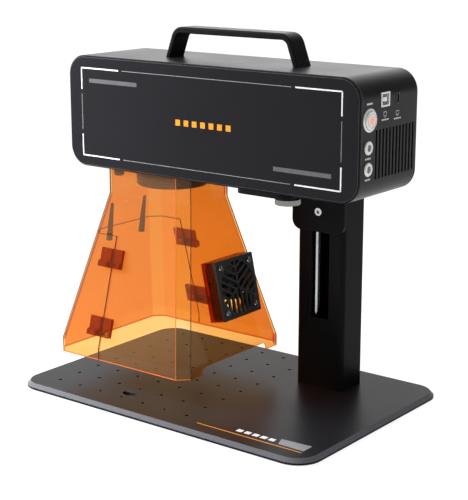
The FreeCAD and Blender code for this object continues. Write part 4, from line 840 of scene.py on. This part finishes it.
# Thick glued acrylic: the same amber, deepened to brown by the longer way through.
blockLook = {
    "name": "gluedAmberBlock", "tint": "#dcae90", "otherTint": "#d4a486", "hazeMm": 4.0, "rippleMm": 0.2,
    "roughness": 0.05, "body": "#8a3a1c", "bodyShare": 0.22, "longest": 3.0,
}
dress(acrylicFinish(blockLook), "fixed_catch_blocks", "door_catch_blocks")
# Narrow fins seen along their length: almost opaque dark amber.
guideLook = {
    "name": "darkAmberGuide", "tint": "#7a3420", "otherTint": "#6a2c1a", "hazeMm": 4.0, "rippleMm": 0.2,
    "roughness": 0.05, "body": "#2a0c06", "bodyShare": 0.4, "longest": 3.0,
}
dress(acrylicFinish(guideLook), "door_guides")
# Acrylic box with a fan inside: deep red amber, since little light gets behind it.
fanBoxLook = {
    "name": "deepAmberSurround", "tint": "#f08a50", "otherTint": "#e87840", "hazeMm": 9.0, "rippleMm": 0.3,
    "roughness": 0.04, "body": "#3a0c04", "bodyShare": 0.3, "longest": 3.0,
}
dress(acrylicFinish(fanBoxLook), "exhaust_fan_box")
dress(blackAbs, "exhaust_grille", "exhaust_fan_frame", "exhaust_fan_rotor", "head_fan_frame",
      "head_fan_rotor")
print("shield: acrylic, blocks and fan")


# Optics and electronics inside.
# Turned and anodised aluminium: black with a metal sheen, greyer along its edges from wear and a painted
# highlight.
barrelLook = {
    "name": "blackAnodisedBarrel", "colour": "#101012", "otherColour": "#161618", "speckColour": "#242426",
    "patchMm": 12.0, "grainMm": 0.5, "metallic": 0.4, "roughness": 0.35, "bumpMm": 0.02, "edgeMm": 0.3,
    "edgeWearAndHighlight": 0.5, "edgeWearAndHighlightColour": "#6c6c70",
}
dress(surfaceFinish(barrelLook), "lens_barrel", "galvo_block", "laser_source")
# Milled aluminium: pale metal with cutter lines, drawn coarser than the real 0.2 mm so that they show.
milledLook = {
    "name": "milledAluminium", "colour": "#b4b5b7", "otherColour": "#a4a5a8", "speckColour": "#cfd0d2",
    "patchMm": 15.0, "grainMm": 0.8, "stretch": (0.3, 4.0, 1.0), "metallic": 1.0, "roughness": 0.38,
    "bumpMm": 0.02, "edgeMm": 0.3,
}
milled = surfaceFinish(milledLook)
dress(milled, "lift_carriage", "column_foot_block", "chassis_plate", "laser_heat_sink",
      "first_galvo_motor", "second_galvo_motor")
# Turned bronze: warm metal with a soft sheen.
bronzeLook = {
    "name": "turnedBronze", "colour": "#a9793f", "otherColour": "#956833", "speckColour": "#c79a5c",
    "patchMm": 6.0, "grainMm": 0.5, "metallic": 1.0, "roughness": 0.35, "bumpMm": 0.02, "edgeMm": 0.2,
}
dress(surfaceFinish(bronzeLook), "carriage_bushings", "lift_nut")
# Solder mask over copper: glossy green with paler specks.
maskLook = {
    "name": "greenSolderMask", "colour": "#0f4a2a", "otherColour": "#0c3f24", "speckColour": "#2f7a50",
    "patchMm": 10.0, "grainMm": 1.2, "roughness": 0.3, "bumpMm": 0.03, "edgeMm": 0.2, "coat": 0.3,
}
dress(surfaceFinish(maskLook), "control_board", "galvo_driver_board")
# Coated mirror glass: near-perfect reflection with a faint warm cast.
mirrorLook = {
    "name": "coatedMirrorGlass", "colour": "#d8d6c8", "otherColour": "#cfccb8", "speckColour": "#e8e6da",
    "patchMm": 5.0, "grainMm": 0.5, "metallic": 1.0, "roughness": 0.07, "roughSpread": 0.02,
    "bumpMm": 0.002, "edgeMm": 0.1,
}
dress(surfaceFinish(mirrorLook), "first_mirror", "second_mirror")
# Coated lens glass: clear, with a cool tint at a slant.
lensLook = {
    "name": "coatedFieldLens", "tint": "#d8e4e8", "otherTint": "#cfdfe6", "hazeMm": 20.0, "rippleMm": 0.02,
    "roughness": 0.02, "body": "#6a8ab0", "bodyShare": 0.05, "longest": 3.0,
}
dress(acrylicFinish(lensLook), "field_lens")
print("inside pieces dressed")

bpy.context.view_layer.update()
